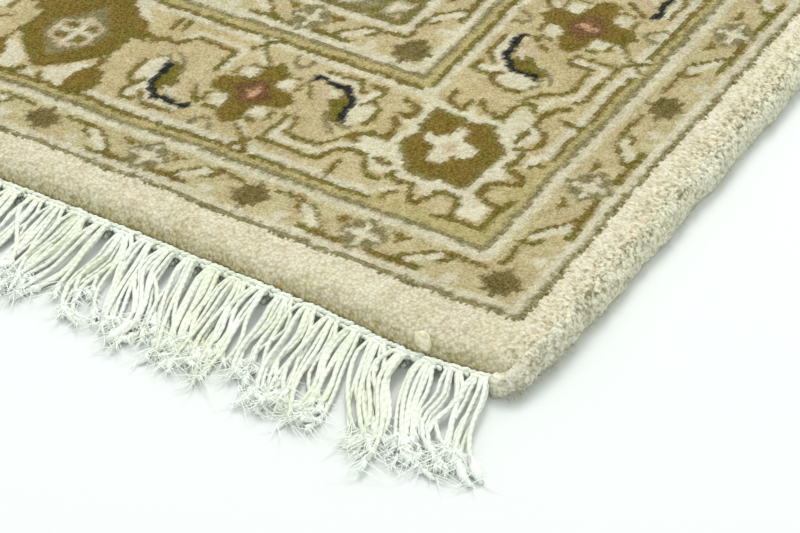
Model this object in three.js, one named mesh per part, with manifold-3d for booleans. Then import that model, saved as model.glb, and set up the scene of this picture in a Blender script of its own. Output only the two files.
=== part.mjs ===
// An oriental rug laid flat: a knotted wool body, an overcast selvedge on each long side, and a
// twined line with knotted fringe on each end. Millimetres, +Z up. The origin is on the floor under
// the middle of the rug, +Y runs along its length and +X across it.

import * as THREE from 'three';
import { mergeVertices } from 'three/addons/utils/BufferGeometryUtils.js';
import Module from 'manifold-3d';

// The weave. One knot covers a square cell, and the rug is counted in them.
const KNOT = 2.4;
const COLUMNS = 411;
const ROWS = 615;

// Heights above the floor
const PILE_TOP = 12.0;
const FOUNDATION = 3.0;

// Plan of the body
const HALF_WIDTH = (COLUMNS * KNOT) / 2;
const HALF_LENGTH = (ROWS * KNOT) / 2;
const END_WAVE = { height: 2.0, length: 360, peak: 428 };
const END_FLARE = { height: 4.8, at: 450, reach: 34 };
const BODY_STEPS = 52;
const CORNER = { length: 40, inset: 3.0 };
// Where the rounded corner is cut into steps, as shares of its inset and of its length
const INSET_SHARES = [0.35, 0.7, 0.9, 1.0];
const LENGTH_SHARES = [0.3, 0.55];

// Between a piece and its neighbour
const GAP = 0.3;

// Selvedge
const SELVEDGE_WIDTH = 6.0;
const SELVEDGE_TOP = 11.3;
const SELVEDGE_LUMP = { height: 0.5, length: 46 };
const SELVEDGE_STEPS = 56;

// Tip of the selvedge, bent in round the corner: how far past the straight end, how far its inner and its
// outer side stand in, how much lower its top is
const SELVEDGE_TIP = [
  { past: -14, inner: 0.0, outer: 0.0, drop: 0.0 },
  { past: -5, inner: 0.0, outer: 0.0, drop: 1.0 },
  { past: 2, inner: 0.0, outer: 0.0, drop: 2.6 },
  { past: 5, inner: 3.0, outer: 0.6, drop: 3.4 },
  { past: 8, inner: 4.6, outer: 2.2, drop: 4.4 },
  { past: 10, inner: 4.6, outer: 4.0, drop: 6.0 },
  { past: 11, inner: 4.2, outer: 5.2, drop: 7.6 },
];

// Fringe
const LOCKS = 82;
const LOCK_PITCH = 11.85;
const STRIP_WIDTH = 3.6;
const STRIP_HEIGHT = 3.4;
const STRIP_HALF = 483;
const LOCK_LENGTH = { mean: 57, spread: 3 };
const UNEVEN = { turn: 2.4, slow: 0.7 };
const SWAY = { mean: 5.0, width: 9.0, length: 300, zero: 300 };
const FAN = { width: 20, reach: 126 };
const BEND = 1.3;

// Sections of one lock: share of its length, width, height
const LOCK_SECTIONS = [
  { at: 0.0, width: 4.4, height: 2.8 },
  { at: 0.06, width: 6.4, height: 5.0 },
  { at: 0.13, width: 5.2, height: 3.8 },
  { at: 0.42, width: 9.8, height: 3.0 },
  { at: 0.76, width: 10.4, height: 2.6 },
  { at: 1.0, width: 6.6, height: 1.6 },
];
const LOCK_TOP_SHARE = 0.55;

// Section of the twined line: share of its width from the body, share of its height
const STRIP_SECTION = [
  { out: 0.0, up: 0.0 },
  { out: 0.0, up: 0.8 },
  { out: 0.4, up: 1.0 },
  { out: 1.0, up: 0.75 },
  { out: 1.0, up: 0.0 },
];

// Pile edge over the fringe: how far in from the end, and how high
const SHOULDER = [
  { inward: 0.0, height: 0.0 },
  { inward: 0.0, height: FOUNDATION },
  { inward: 0.5, height: 5.2 },
  { inward: 1.2, height: 7.6 },
  { inward: 2.8, height: 9.8 },
  { inward: 5.6, height: 11.3 },
  { inward: 10.0, height: PILE_TOP },
];

// Outer side of the selvedge: share of its width from the body, share of its height
const OVERCAST = [
  { out: 0.0, up: 0.0 },
  { out: 0.62, up: 0.0 },
  { out: 0.88, up: 0.1 },
  { out: 1.0, up: 0.34 },
  { out: 0.97, up: 0.62 },
  { out: 0.8, up: 0.84 },
  { out: 0.5, up: 0.97 },
  { out: 0.2, up: 1.0 },
  { out: 0.0, up: 0.98 },
];

const wool = { cream: 0xdccfa6, band: 0xd8caa0 };
const cotton = { white: 0xf2f1e6 };
const ROUGHNESS = 0.95;

const clamp01 = (t) => Math.min(1, Math.max(0, t));

// count + 1 values from -half to half, evenly spaced.
const spread = (half, count) => Array.from({ length: count + 1 }, (_, i) => half * ((2 * i) / count - 1));

// Closed tube through rings of points, each ring the same section further along, with flat ends.
// A ring runs anticlockwise when seen from the end that the rings run towards.
function loft(rings) {
  const count = rings[0].length;
  const positions = rings.flat(2);
  const index = [];
  for (let ring = 0; ring + 1 < rings.length; ring++) {
    for (let i = 0; i < count; i++) {
      const a = ring * count + i;
      const b = ring * count + ((i + 1) % count);
      index.push(a, b, b + count, a, b + count, a + count);
    }
  }
  for (const [ring, flip] of [[0, true], [rings.length - 1, false]]) {
    for (const face of capFaces(rings[ring])) {
      const [a, b, c] = face.map((i) => ring * count + i);
      index.push(a, ...(flip ? [c, b] : [b, c]));
    }
  }
  const geometry = new THREE.BufferGeometry();
  geometry.setAttribute('position', new THREE.Float32BufferAttribute(positions, 3));
  geometry.setIndex(index);
  return geometry;
}

// Triangles that close a flat ring, turning the way the ring runs.
function capFaces(ring) {
  const [p, q] = [0, 1, 2].filter((axis) => ring.some((point) => point[axis] !== ring[0][axis]));
  const outline = ring.map((point) => new THREE.Vector2(point[p], point[q]));
  const clockwise = THREE.ShapeUtils.area(outline) < 0;
  const order = ring.map((_, i) => (clockwise ? ring.length - 1 - i : i));
  const faces = THREE.ShapeUtils.triangulateShape(order.map((i) => outline[i]), []);
  return faces.map((face) => (clockwise ? face.map((i) => order[i]).reverse() : face));
}

// How far the woven end stands from the middle of the rug at x: a slow wave, a flare towards each corner,
// and the rounded corners themselves.
function endAt(x) {
  const wave = END_WAVE.height * Math.cos((2 * Math.PI * (x - END_WAVE.peak)) / END_WAVE.length);
  const flare = END_FLARE.height * Math.exp(-(((Math.abs(x) - END_FLARE.at) / END_FLARE.reach) ** 2));
  const corner = clamp01((Math.abs(x) - (HALF_WIDTH - CORNER.inset)) / CORNER.inset);
  return HALF_LENGTH + (wave + flare) * (1 - corner) - CORNER.length * (1 - Math.sqrt(1 - corner));
}

// How far the corner has turned in at y, from 0 on the long side to 1 at the end of the rug.
function turnAt(y) {
  return clamp01((Math.abs(y) - (HALF_LENGTH - CORNER.length)) / CORNER.length) ** 2;
}

// Places across the rug where its ends are cut into straight lengths.
function acrossStations() {
  return spread(HALF_WIDTH - CORNER.inset, BODY_STEPS);
}

function bodyStations() {
  const inner = HALF_WIDTH - CORNER.inset;
  const corner = INSET_SHARES.map((share) => inner + CORNER.inset * share);
  return [...corner.map((x) => -x).reverse(), ...acrossStations(), ...corner];
}

function rugBody() {
  const rings = bodyStations().map((x) => {
    const front = SHOULDER.map(({ inward, height }) => [x, -(endAt(x) - inward), height]);
    const back = SHOULDER.map(({ inward, height }) => [x, endAt(-x) - inward, height]);
    return [...back, ...front.reverse()];
  });
  return loft(rings);
}

// A value of the selvedge's tip, between the rows of its table.
function tipAt(y, column) {
  const past = Math.abs(y) - HALF_LENGTH;
  const next = SELVEDGE_TIP.findIndex((row) => row.past >= past);
  if (next === 0) return 0;
  if (next < 0) return SELVEDGE_TIP.at(-1)[column];
  const [low, high] = [SELVEDGE_TIP[next - 1], SELVEDGE_TIP[next]];
  return low[column] + ((high[column] - low[column]) * (past - low.past)) / (high.past - low.past);
}

// The overcast side on +X. Its height falls towards its tips, as the pile's does at the corners.
function selvedge() {
  const near = HALF_LENGTH - CORNER.length;
  const corner = LENGTH_SHARES.map((share) => near + CORNER.length * share);
  const ends = [...corner, ...SELVEDGE_TIP.map(({ past }) => HALF_LENGTH + past)];
  const stations = [...ends.map((y) => -y).reverse(), ...spread(near, SELVEDGE_STEPS), ...ends];
  return loft(stations.map((y) => {
    const turn = turnAt(y);
    const side = HALF_WIDTH - CORNER.inset * turn + GAP;
    const lump = SELVEDGE_LUMP.height * Math.sin((2 * Math.PI * y) / SELVEDGE_LUMP.length);
    const inner = side - tipAt(y, 'inner');
    const outer = side + SELVEDGE_WIDTH + lump * (1 - turn) - tipAt(y, 'outer');
    const top = SELVEDGE_TOP - tipAt(y, 'drop');
    return OVERCAST.map(({ out, up }) => [inner + (outer - inner) * out, y, top * up]).reverse();
  }));
}

// Twined line along the front end, lying against the woven edge.
function fringeStrip() {
  const stations = acrossStations().filter((x) => Math.abs(x) < STRIP_HALF);
  return loft([-STRIP_HALF, ...stations, STRIP_HALF].map((x) => STRIP_SECTION.map(({ out, up }) => [
    x,
    -(endAt(x) + GAP + STRIP_WIDTH * out),
    STRIP_HEIGHT * up,
  ])));
}

// One lock: a knot under the twined line, then the loose strands, level on the floor all the way.
function lock(number) {
  const root = (number - (LOCKS - 1) / 2) * LOCK_PITCH;
  const unevenness = Math.sin(number * UNEVEN.turn) * Math.cos(number * UNEVEN.slow);
  const length = LOCK_LENGTH.mean + LOCK_LENGTH.spread * unevenness;
  const sway = SWAY.mean + SWAY.width * Math.sin((2 * Math.PI * (root - SWAY.zero)) / SWAY.length);
  const lastRoot = ((LOCKS - 1) / 2) * LOCK_PITCH;
  const nearCorner = clamp01((Math.abs(root) - lastRoot + FAN.reach) / FAN.reach);
  const shift = sway * (1 - nearCorner) + Math.sign(root) * FAN.width * nearCorner;
  const start = endAt(root) + GAP + STRIP_WIDTH / 2;
  const rings = LOCK_SECTIONS.map(({ at, width, height }) => {
    const x = root + shift * at ** BEND;
    const y = -(start + length * at);
    const top = (width * LOCK_TOP_SHARE) / 2;
    return [
      [x + width / 2, y, 0],
      [x + top, y, height],
      [x - top, y, height],
      [x - width / 2, y, 0],
    ];
  });
  return loft(rings);
}

const wasm = await Module();
wasm.setup();

function toManifold(geometry) {
  const merged = mergeVertices(geometry);
  return new wasm.Manifold(new wasm.Mesh({
    numProp: 3,
    vertProperties: new Float32Array(merged.attributes.position.array),
    triVerts: new Uint32Array(merged.index.array),
  }));
}

function fromManifold(solid) {
  const { vertProperties, triVerts } = solid.getMesh();
  const geometry = new THREE.BufferGeometry();
  geometry.setAttribute('position', new THREE.Float32BufferAttribute(vertProperties, 3));
  geometry.setIndex(Array.from(triVerts));
  return geometry;
}

function fringe() {
  let solid = toManifold(fringeStrip());
  for (let number = 0; number < LOCKS; number++) solid = solid.add(toManifold(lock(number)));
  return fromManifold(solid);
}

function piece(name, geometry, color, halfTurn = false) {
  const material = new THREE.MeshStandardMaterial({ color, roughness: ROUGHNESS, metalness: 0 });
  const mesh = new THREE.Mesh(geometry, material);
  mesh.name = name;
  if (halfTurn) mesh.rotation.z = Math.PI;
  return mesh;
}

const group = new THREE.Group();
group.add(piece('rug_body', rugBody(), wool.cream));
group.add(piece('selvedge_right', selvedge(), wool.band));
group.add(piece('selvedge_left', selvedge(), wool.band, true));
group.add(piece('fringe_front', fringe(), cotton.white));
group.add(piece('fringe_back', fringe(), cotton.white, true));

export default group;
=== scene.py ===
"""Looks of a hand-knotted oriental rug lying flat: the knotted pile with its borders, the overcast sides,
the twined line and knotted cotton fringe of both ends. Lengths are in millimetres until a mesh is made."""
import itertools
import math

import bpy
import numpy as np
from mathutils import Matrix, Vector


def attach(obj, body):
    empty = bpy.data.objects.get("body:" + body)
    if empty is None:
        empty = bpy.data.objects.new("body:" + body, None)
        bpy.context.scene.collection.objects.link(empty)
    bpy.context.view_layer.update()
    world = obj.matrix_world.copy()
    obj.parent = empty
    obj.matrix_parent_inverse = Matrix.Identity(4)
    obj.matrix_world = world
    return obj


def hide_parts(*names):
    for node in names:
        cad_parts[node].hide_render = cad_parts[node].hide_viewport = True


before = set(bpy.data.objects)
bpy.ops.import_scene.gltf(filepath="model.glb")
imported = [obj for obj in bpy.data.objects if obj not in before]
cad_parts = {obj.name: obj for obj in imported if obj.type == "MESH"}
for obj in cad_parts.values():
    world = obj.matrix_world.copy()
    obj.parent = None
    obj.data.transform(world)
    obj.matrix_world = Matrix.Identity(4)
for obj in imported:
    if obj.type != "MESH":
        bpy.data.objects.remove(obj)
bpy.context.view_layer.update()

MM = 0.001
SEED = 11


def seeded(number):
    """Random numbers of their own for each thing that is made."""
    return np.random.default_rng((SEED, number))


# The weave, as in the part's source
KNOT = 2.4
COLUMNS, ROWS = 411, 615
HALF_WIDTH, HALF_LENGTH = COLUMNS * KNOT / 2, ROWS * KNOT / 2
PILE_TOP, FOUNDATION = 12.0, 3.0
GAP = 0.3
END_WAVE = {"height": 2.0, "length": 360.0, "peak": 428.0}
FLARE = {"height": 4.8, "at": 450.0, "reach": 34.0}
# How far in from an end the wave and the flare die away
WAVE_REACH, FLARE_REACH = 50.0, 22.0
# Rounded corner: its length along the side, how far it stands in at the end, how far in the weave follows it
CORNER = {"length": 40.0, "inset": 3.0, "reach": 24.0}
# Pile edge over the fringe: how far in from the end, and how high
SHOULDER = [(0.0, 3.0), (0.5, 5.2), (1.2, 7.6), (2.8, 9.8), (5.6, 11.3), (10.0, 12.0)]

# Pattern: knots of plain band outside the outer grey line, on a side and on an end
SIDE_BAND, END_BAND = 7, 9
HALF_ALONG_END, HALF_ALONG_SIDE = COLUMNS / 2 - SIDE_BAND, ROWS / 2 - END_BAND
CELLS = 2                      # cells of colour to a knot, each way

# sRGB of the yarns, 0 to 255: two tones that a dyed yarn wanders between
YARNS = {
    "band": ((244, 237, 212), (237, 227, 198)),
    "cream": ((230, 223, 196), (221, 212, 183)),
    "ivory": ((233, 226, 200), (225, 216, 186)),
    "guard": ((209, 197, 154), (202, 185, 142)),
    "tan": ((200, 184, 134), (192, 180, 124)),
    "ground": ((213, 198, 156), (203, 185, 139)),
    "blush": ((214, 194, 164), (207, 186, 151)),
    "gold": ((119, 111, 34), (128, 106, 41)),
    "olive": ((127, 110, 38), (136, 111, 45)),
    "star": ((116, 103, 55), (128, 113, 66)),
    "taupe": ((147, 135, 96), (139, 131, 89)),
    "line": ((150, 139, 95), (139, 129, 87)),
    "sage": ((158, 152, 116), (146, 138, 98)),
    "rim": ((140, 130, 75), (126, 114, 59)),
    "navy": ((14, 22, 23), (13, 20, 17)),
    "heart": ((123, 87, 47), (126, 96, 56)),
    "pink": ((212, 168, 134), (206, 160, 128)),
}
NAMES = list(YARNS)

# Depth in knots where each stripe ends, from the edge to the field
STRIPES = [
    (-0.45, "band"), (0.85, "line"), (2.6, "cream"), (11.0, "guard"), (12.8, "cream"),
    (14.2, "line"), (15.3, "tan"), (16.5, "gold"), (18.2, "cream"), (45.7, "ground"),
    (47.2, "cream"), (48.5, "gold"), (49.9, "tan"), (51.1, "line"), (53.2, "cream"),
    (60.4, "guard"), (62.2, "cream"), (64.2, "rim"),
]
FIELD_FROM = 64.2
# In the corner square the border's outer lines stop short, and its tan ground runs out to the grey line
CORNER_SQUARE = {"along": 39.5, "from": 14.2, "to": 18.2}
# Knots by which the stripes of a side, and of an end, stand further in at a depth
SIDE_LEAN = ((9, 12, 19, 22), (0, 0.9, 0.9, 0))
END_LEAN = ((-4, -1, 2, 5), (0, 0.4, 0.4, 0))


def ring(count, *radii, at=(0, 0)):
    """Points round a centre, the radii taken in turn, the first one straight inwards."""
    angles = np.arange(count) * 2 * np.pi / count
    return [(at[0] + radius * float(np.sin(a)), at[1] + radius * float(np.cos(a)))
            for a, radius in zip(angles, itertools.cycle(radii))]


def mirrored(points):
    """A shape from its right half, listed from top to bottom."""
    return points + [(-p, q) for p, q in reversed(points) if p]


def half_turned(motif):
    return [(yarn, width, [(-p, -q) for p, q in points]) for yarn, width, points in motif]


def both_sides(motif):
    return motif + [(yarn, width, [(-p, q) for p, q in points]) for yarn, width, points in motif]


# Motifs: yarn, width of the line or 0 for a filled shape, points in knots (along the border, inwards)
STAR = [("star", 0, ring(16, 4.4, 2.7, 3.7, 2.7))]
LOBES = [("taupe", 0, ring(8, 1.2, at=at)) for at in ((0, 3.5), (0, -3.5), (3.4, 0), (-3.4, 0))] + [
    ("taupe", 0, ring(8, 1.45, at=(p, q))) for p in (-1.9, 1.9) for q in (-1.9, 1.9)] + [
    ("ivory", 1.1, [(0, -2.8), (0, 2.8)]),
    ("ivory", 1.1, [(-2.8, 0), (2.8, 0)]),
    ("ivory", 0, ring(8, 1.3)),
]
# From a star to the next four-lobed flower, 25 knots on
VINE_STEP = 25.0
VINE = [
    ("gold", 1.1, [(4, 2.6), (9.2, 2.7), (9.8, 0.8), (11, 0)]),
    ("gold", 1.2, [(9.2, 2.9), (12.6, 2.2), (15.2, -0.4), (17.3, -2.4)]),
    ("gold", 1.5, [(13.2, -3.4), (22.5, -3.3)]),
    ("ivory", 1.8, [(11.4, 1.5), (15.3, -1.9)]),
    ("olive", 0, [(17.6, 2.8), (21.6, 2.6), (20.5, 1.5), (19.6, 0.6), (18.6, 1.4)]),
]
PALE_SPOT, PALE_SPOT_AT = [("cream", 0, ring(7, 1.5))], (8, -2.6)

CROSS = [
    ("olive", 0, mirrored([(0, 10), (1.5, 9), (3, 7), (2.5, 6), (3.5, 3.5), (5, 3), (8, 2), (9, 0), (8, -2),
                           (5, -3), (3, -4), (2.5, -7), (3, -8), (1, -10), (0, -10.5)])),
    ("heart", 0, ring(8, 4.6, 3.4)),
    ("pink", 0, ring(8, 2.4, 0.9, 1.3, 0.9)),
] + [row for p in (-1, 1) for q in (-1, 1) for row in (
    ("ivory", 0, ring(8, 1.7, 1.9, at=(4.2 * p, 4.8 * q))),
    ("gold", 1.0, [(3 * p, 7.3 * q), (5.5 * p, 7.3 * q)]),
    ("gold", 1.0, [(6.9 * p, 6 * q), (6.9 * p, 3.5 * q)]),
)]
# A long dark leaf in its pale sheath with hooked outlines, on the corner side of the cross
LEAF = [
    ("gold", 0, [(-12.8, 5.2), (-15, 7), (-18, 6), (-18, -1), (-15.6, -1), (-15, 2)]),
    ("ivory", 1.5, [(-9, 10.5), (-15, 11), (-17, 9.5)]),
    ("ivory", 0, [(-16.5, 10), (-18.5, 8), (-20, 12), (-21, 11.5), (-21, 7), (-23, 6), (-23, 2), (-22, 0),
                  (-19.5, -1), (-18, 5)]),
    ("navy", 1.6, [(-8, 9), (-9.5, 9.7), (-13, 9), (-15, 9.5), (-16, 8), (-17.5, 6.5), (-18.4, 5),
                    (-18.2, 2.5), (-19, -0.5)]),
    ("gold", 1.2, [(-9.5, 12), (-15.5, 12.5), (-18, 9.7)]),
    ("gold", 1.2, [(-18.4, 12), (-21, 12.5), (-21.8, 10.5), (-20, 6)]),
    ("gold", 1.2, [(-21.6, 8), (-23.5, 6.5), (-24, 3.5), (-23.5, 1)]),
    ("gold", 1.1, [(-7.5, 7.5), (-9.5, 4.5), (-10.3, 3)]),
    ("blush", 0, [(-10, 8), (-13.5, 7.5), (-13.5, 4.5), (-11.5, 3), (-11, 5)]),
    ("cream", 1.1, [(-12.5, 7.5), (-14.5, 6)]),
    ("taupe", 1.0, [(-15.5, 1), (-16, -1), (-17.5, -2.5), (-19.5, -3.5)]),
    ("taupe", 1.0, [(-18.5, -0.5), (-20.5, -1.5), (-22, -0.5)]),
]
# The bent pale stem between its two gold lines, on the outer side
STEM = [
    ("gold", 1.2, [(-9.2, -3), (-9.2, -11.3), (-20.6, -11.3), (-22, -10)]),
    ("gold", 1.2, [(-10.8, -2.5), (-12.1, -4.5), (-12.1, -7.6), (-18.5, -7.6), (-21, -5.6), (-23.5, -2.5),
                   (-26, -1)]),
    ("ivory", 1.3, [(-10.7, -4), (-10.7, -9.7), (-20.4, -9.5), (-23, -6.2), (-26, -5)]),
]
# Where the cross's diagonals meet the lines of the border
DIAGONAL = [
    ("cream", 2.6, [(5.6, 14.6), (9.8, 14.6)]),
    ("gold", 1.0, [(2, 8.5), (5.5, 12), (9, 16)]),
    ("gold", 1.0, [(9, 11), (5, 16)]),
    ("cream", 0.9, [(3, 8), (6.5, 11.5)]),
    ("taupe", 1.0, [(-5, 13.5), (-4.5, 11.5), (-3, 10.5), (-1.5, 11.5), (-1, 13.5)]),
]
# The same stem on the far side, along the border's inner line
FAR_STEM = [
    ("ivory", 1.2, [(-9.3, -3), (-9.3, -10.9), (-19.5, -11.1), (-22, -8)]),
    ("gold", 1.2, [(-10.5, -2.6), (-10.5, -9.2), (-19, -9.5), (-20.5, -7.6), (-22, -5.6), (-24, -5.6),
                   (-26.5, -4.1)]),
    ("gold", 1.0, [(-23.5, -13.6), (-23.5, -10.6)]),
]
CROSS_GROUP = CROSS + LEAF + STEM + DIAGONAL + half_turned(LEAF + FAR_STEM + DIAGONAL)

DIAMOND = [
    ("gold", 3.0, [(-6.5, 9), (0, 15.5), (6.5, 9), (9, 3.5), (9, -3), (5.5, -6.5), (0, -11), (-5.5, -6.5),
                   (-9, -3), (-9, 3.5), (-6.5, 9)]),
    ("olive", 0, mirrored([(0, 14.5), (2, 13), (6, 8.5), (9, 4.5), (9, -2.5), (7, -5.5), (4.5, -7.5),
                           (2, -10), (0, -11.5)])),
    ("taupe", 0, mirrored([(0, 9.5), (3.5, 5.5), (6.5, 2), (6, -2), (3, -5.5), (0, -8.5)])),
    ("blush", 0, ring(12, 5.6, 4.6)),
    ("taupe", 0, ring(12, 4.2, 3.4)),
    ("gold", 1.4, [(-2.4, -2.4), (2.4, 2.4)]),
    ("gold", 1.4, [(-2.4, 2.4), (2.4, -2.4)]),
    ("cream", 1.4, [(0, -3.8), (0, 4)]),
    ("cream", 1.4, [(-3.6, 0), (3.6, 0)]),
] + both_sides([
    ("cream", 2.2, [(9.8, 9.8), (5, 13.8)]),
    ("cream", 0, [(9.5, -7), (6.5, -8), (2.5, -12), (5, -15), (9.5, -14)]),
    ("gold", 1.2, [(1.5, -13.5), (4, -16), (8.5, -16)]),
    ("olive", 0, [(6, 9), (8, 10.5), (10, 9.5), (12, 6.5), (13.5, 3), (10.5, 3.5), (9.5, 5), (8, 6.5)]),
    ("gold", 1.2, [(12.5, 5.5), (15.5, 5.5), (17.5, 6.5)]),
    ("olive", 0, [(7.5, -13), (8.5, -9.5), (10.5, -8), (13.5, -8), (15, -11), (14.5, -14), (12, -16.5),
                   (8, -14.5)]),
    ("olive", 1.2, [(11, -8.5), (10.5, -4)]),
    ("gold", 1.1, [(15.5, 13), (15.5, 9.5)]),
])

# Large rosette of the corner, about its centre: the half on one side of the corner's diagonal, which runs
# from the first point to the last
ROSETTE_AT = (34.5, 34.8)
ROSETTE_HALF = [(9.3, 9.3), (9, 2.7), (7.6, 1), (8.8, -0.8), (9.4, -3), (8.5, -4.8), (5.5, -7.4), (3.5, -9.7),
                (-2.3, -9.7), (-3.4, -8.7), (-4.5, -9.3), (-9.2, -9.2)]
SHEATH_HALF = [
    [(9.5, 9.5), (10, 12.5), (13, 14.2), (14, 14), (13.2, 11), (11.5, 9.5)],
    [(13, 3.2), (10.5, 3.4), (9, 2.6), (9, 0), (10.5, 0.8), (12, 2)],
    [(16, -5), (15.8, -6.5), (14.5, -8), (12.5, -9.8), (10.5, -11.8), (8.5, -12.3), (6.5, -11.5), (5.5, -9),
     (7, -7), (9.5, -5), (11.5, -4.6)],
    [(-2.3, -10.5), (-2.3, -13.5), (-3.8, -13.5), (-4.3, -10.5)],
    [(-9.5, -9.5), (-10.3, -13), (-11, -15.3), (-14.8, -15.3), (-15.3, -14.8), (-15.3, -11), (-13, -10.3)],
]
FLOWER_HALF = [(2.8, 2.8), (3.3, 2), (5.4, 1.7), (6.2, 0.5), (4.9, -0.6), (2.7, -1.1), (2.6, -3.2),
               (1.4, -4.9), (-0.3, -5), (-1.6, -3.4), (-1.3, -1.3)]
SPRIGS_HALF = [
    ("gold", 1.4, [(15, 8.7), (12, 8), (11, 6), (11, 4.4), (13.5, 4.4)]),
    ("gold", 1.4, [(14.3, 2.7), (12.6, 0.5), (11.9, -1.5), (11.4, -4), (12, -3.6), (15.5, -3.6), (17.4, -5),
                   (17.4, -6.6), (16, -7)]),
    ("gold", 1.3, [(19.5, -12.8), (18.3, -10.7), (16, -9.4), (12.8, -9.4), (11.5, -11.3), (10.5, -13),
                   (8.5, -13.9), (6.5, -13.6)]),
    ("gold", 1.4, [(5.2, -10.2), (5.7, -12), (3.5, -12.5), (0, -11.9), (-0.9, -14), (-1.8, -16.2),
                   (-3.3, -16.3), (-4, -14.5), (-4.9, -12.1), (-6, -11.4), (-9, -11.6), (-10.1, -14),
                   (-10.4, -16.4)]),
    ("gold", 1.5, [(10, -9.3), (7.3, -9.3)]),
    ("gold", 1.4, [(-8, -17.6), (-11.5, -16.7), (-16.8, -16.8)]),
    ("gold", 1.2, [(15.5, -16.8), (16, -13)]),
    ("gold", 1.2, [(3, -17.6), (3.2, -15.9), (1.6, -15)]),
    ("ivory", 0, [(6.3, -16.4), (3.5, -16.3), (1.5, -14.2), (2.8, -14), (5.5, -14.8)]),
]

# Field: an all-over repeat of palmettes and rosettes on curling leaves
FIELD_STEP = (44.9, 39.1)
PALMETTE = [
    ("ivory", 0, mirrored([(0, 13), (3.5, 9.5), (8, 8), (9.5, 3), (8.5, -2), (5, -6), (2, -9.5), (0, -10)])),
    ("olive", 0, mirrored([(0, 11), (3, 8), (7, 6.5), (8, 3), (7, -1.5), (4, -5), (0, -8.5)])),
    ("guard", 0, mirrored([(0, 7), (3, 5), (5, 2), (3.5, -2), (0, -5)])),
    ("heart", 0, mirrored([(0, 4.5), (2.5, 2), (1.5, -1), (0, -2.5)])),
    ("gold", 1.2, [(0, -9), (0, -14)]),
]
FIELD_ROSETTE = [
    ("gold", 0, ring(16, 8.4, 6.4)),
    ("ivory", 0, ring(16, 7, 5.2)),
    ("taupe", 0, ring(8, 4.2, 3.2)),
    ("blush", 0, ring(8, 2.4, 1.4)),
]
FIELD_LEAF = [
    ("cream", 1.2, [(0, -14), (5, -16), (11, -14), (15, -8), (15, -2), (12, 2)]),
    ("gold", 0, [(15, -8), (19, -12), (24, -12), (27, -8), (23, -9), (20, -6)]),
    ("olive", 0, [(14, 0), (18, 3), (19, 8), (16, 12), (16, 8), (13, 4)]),
    ("ivory", 1.0, [(15, 2), (17, 6), (16.5, 10)]),
    ("cream", 1.1, [(27, -8), (30, -3), (28, 2)]),
    ("blush", 0, ring(8, 2, 1.4, at=(27.5, 4))),
]


def smooth_noise(shape, cell, rng):
    """Values from -1 to 1 that wander over about cell entries of a grid."""
    coarse = rng.uniform(-1, 1, (int(shape[0] / cell) + 3, int(shape[1] / cell) + 3))
    y, x = np.arange(shape[0]) / cell, np.arange(shape[1]) / cell
    j, i = y.astype(int), x.astype(int)
    fy, fx = (y - j)[:, None], (x - i)[None, :]
    fy, fx = fy * fy * (3 - 2 * fy), fx * fx * (3 - 2 * fx)
    low = coarse[np.ix_(j, i)] * (1 - fx) + coarse[np.ix_(j, i + 1)] * fx
    high = coarse[np.ix_(j + 1, i)] * (1 - fx) + coarse[np.ix_(j + 1, i + 1)] * fx
    return low * (1 - fy) + high * fy


# The weaver's unevenness in knots: how far the pattern stands off and how far single cells stray, each across
# the rug and along it, and how far lines wander, over how many cells
WEAVING = {"off": (0.5, 0.2), "stray": (0.30, 0.34), "wander": 0.35, "over": 9}


class Chart:
    """A quarter of the rug as yarn numbers. u and v are knots in from the outer grey line of a side and of an
    end, with the weaver's unevenness."""

    def __init__(self, rng):
        shape = (ROWS * CELLS // 2, COLUMNS * CELLS // 2)
        across, along = ((np.arange(count) + 0.5) / CELLS - band + off for count, band, off in zip(
            shape[::-1], (SIDE_BAND, END_BAND), WEAVING["off"]))
        self.u, self.v = (grid + rng.uniform(-stray, stray, shape)
                          + WEAVING["wander"] * smooth_noise(shape, WEAVING["over"], rng)
                          for grid, stray in zip(np.meshgrid(across, along), WEAVING["stray"]))
        self.yarn = np.zeros(shape, np.int32)

    def window(self, points, margin):
        low = (np.min(points, axis=0) - margin + (SIDE_BAND, END_BAND)) * CELLS
        high = (np.max(points, axis=0) + margin + (SIDE_BAND, END_BAND)) * CELLS
        rows, cols = (slice(max(0, int(low[k])), max(0, int(high[k]) + 1)) for k in (1, 0))
        return rows, cols

    def fill(self, yarn, points):
        """A closed shape."""
        where = self.window(points, 1)
        x, y = self.u[where], self.v[where]
        inside = np.zeros(x.shape, bool)
        for (x0, y0), (x1, y1) in zip(points, points[1:] + points[:1]):
            if y0 != y1:
                crosses = (y0 > y) != (y1 > y)
                inside ^= crosses & (x < (x1 - x0) * (y - y0) / (y1 - y0) + x0)
        self.yarn[where][inside] = NAMES.index(yarn)

    def line(self, yarn, points, width):
        where = self.window(points, width)
        x, y = self.u[where], self.v[where]
        near = np.full(x.shape, np.inf)
        for (x0, y0), (x1, y1) in zip(points, points[1:]):
            dx, dy = x1 - x0, y1 - y0
            t = np.clip(((x - x0) * dx + (y - y0) * dy) / (dx * dx + dy * dy), 0, 1)
            near = np.minimum(near, np.hypot(x - x0 - t * dx, y - y0 - t * dy))
        self.yarn[where][near < width / 2] = NAMES.index(yarn)

    def draw(self, motif, at, turn=(1, 1), swap=False):
        """A motif at a place. turn mirrors it, and swap lays an end border's motif on a side."""
        for yarn, width, points in motif:
            placed = [(at[0] + turn[0] * p, at[1] + turn[1] * q) for p, q in points]
            if swap:
                placed = [(q, p) for p, q in placed]
            if width:
                self.line(yarn, placed, width)
            else:
                self.fill(yarn, placed)


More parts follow.
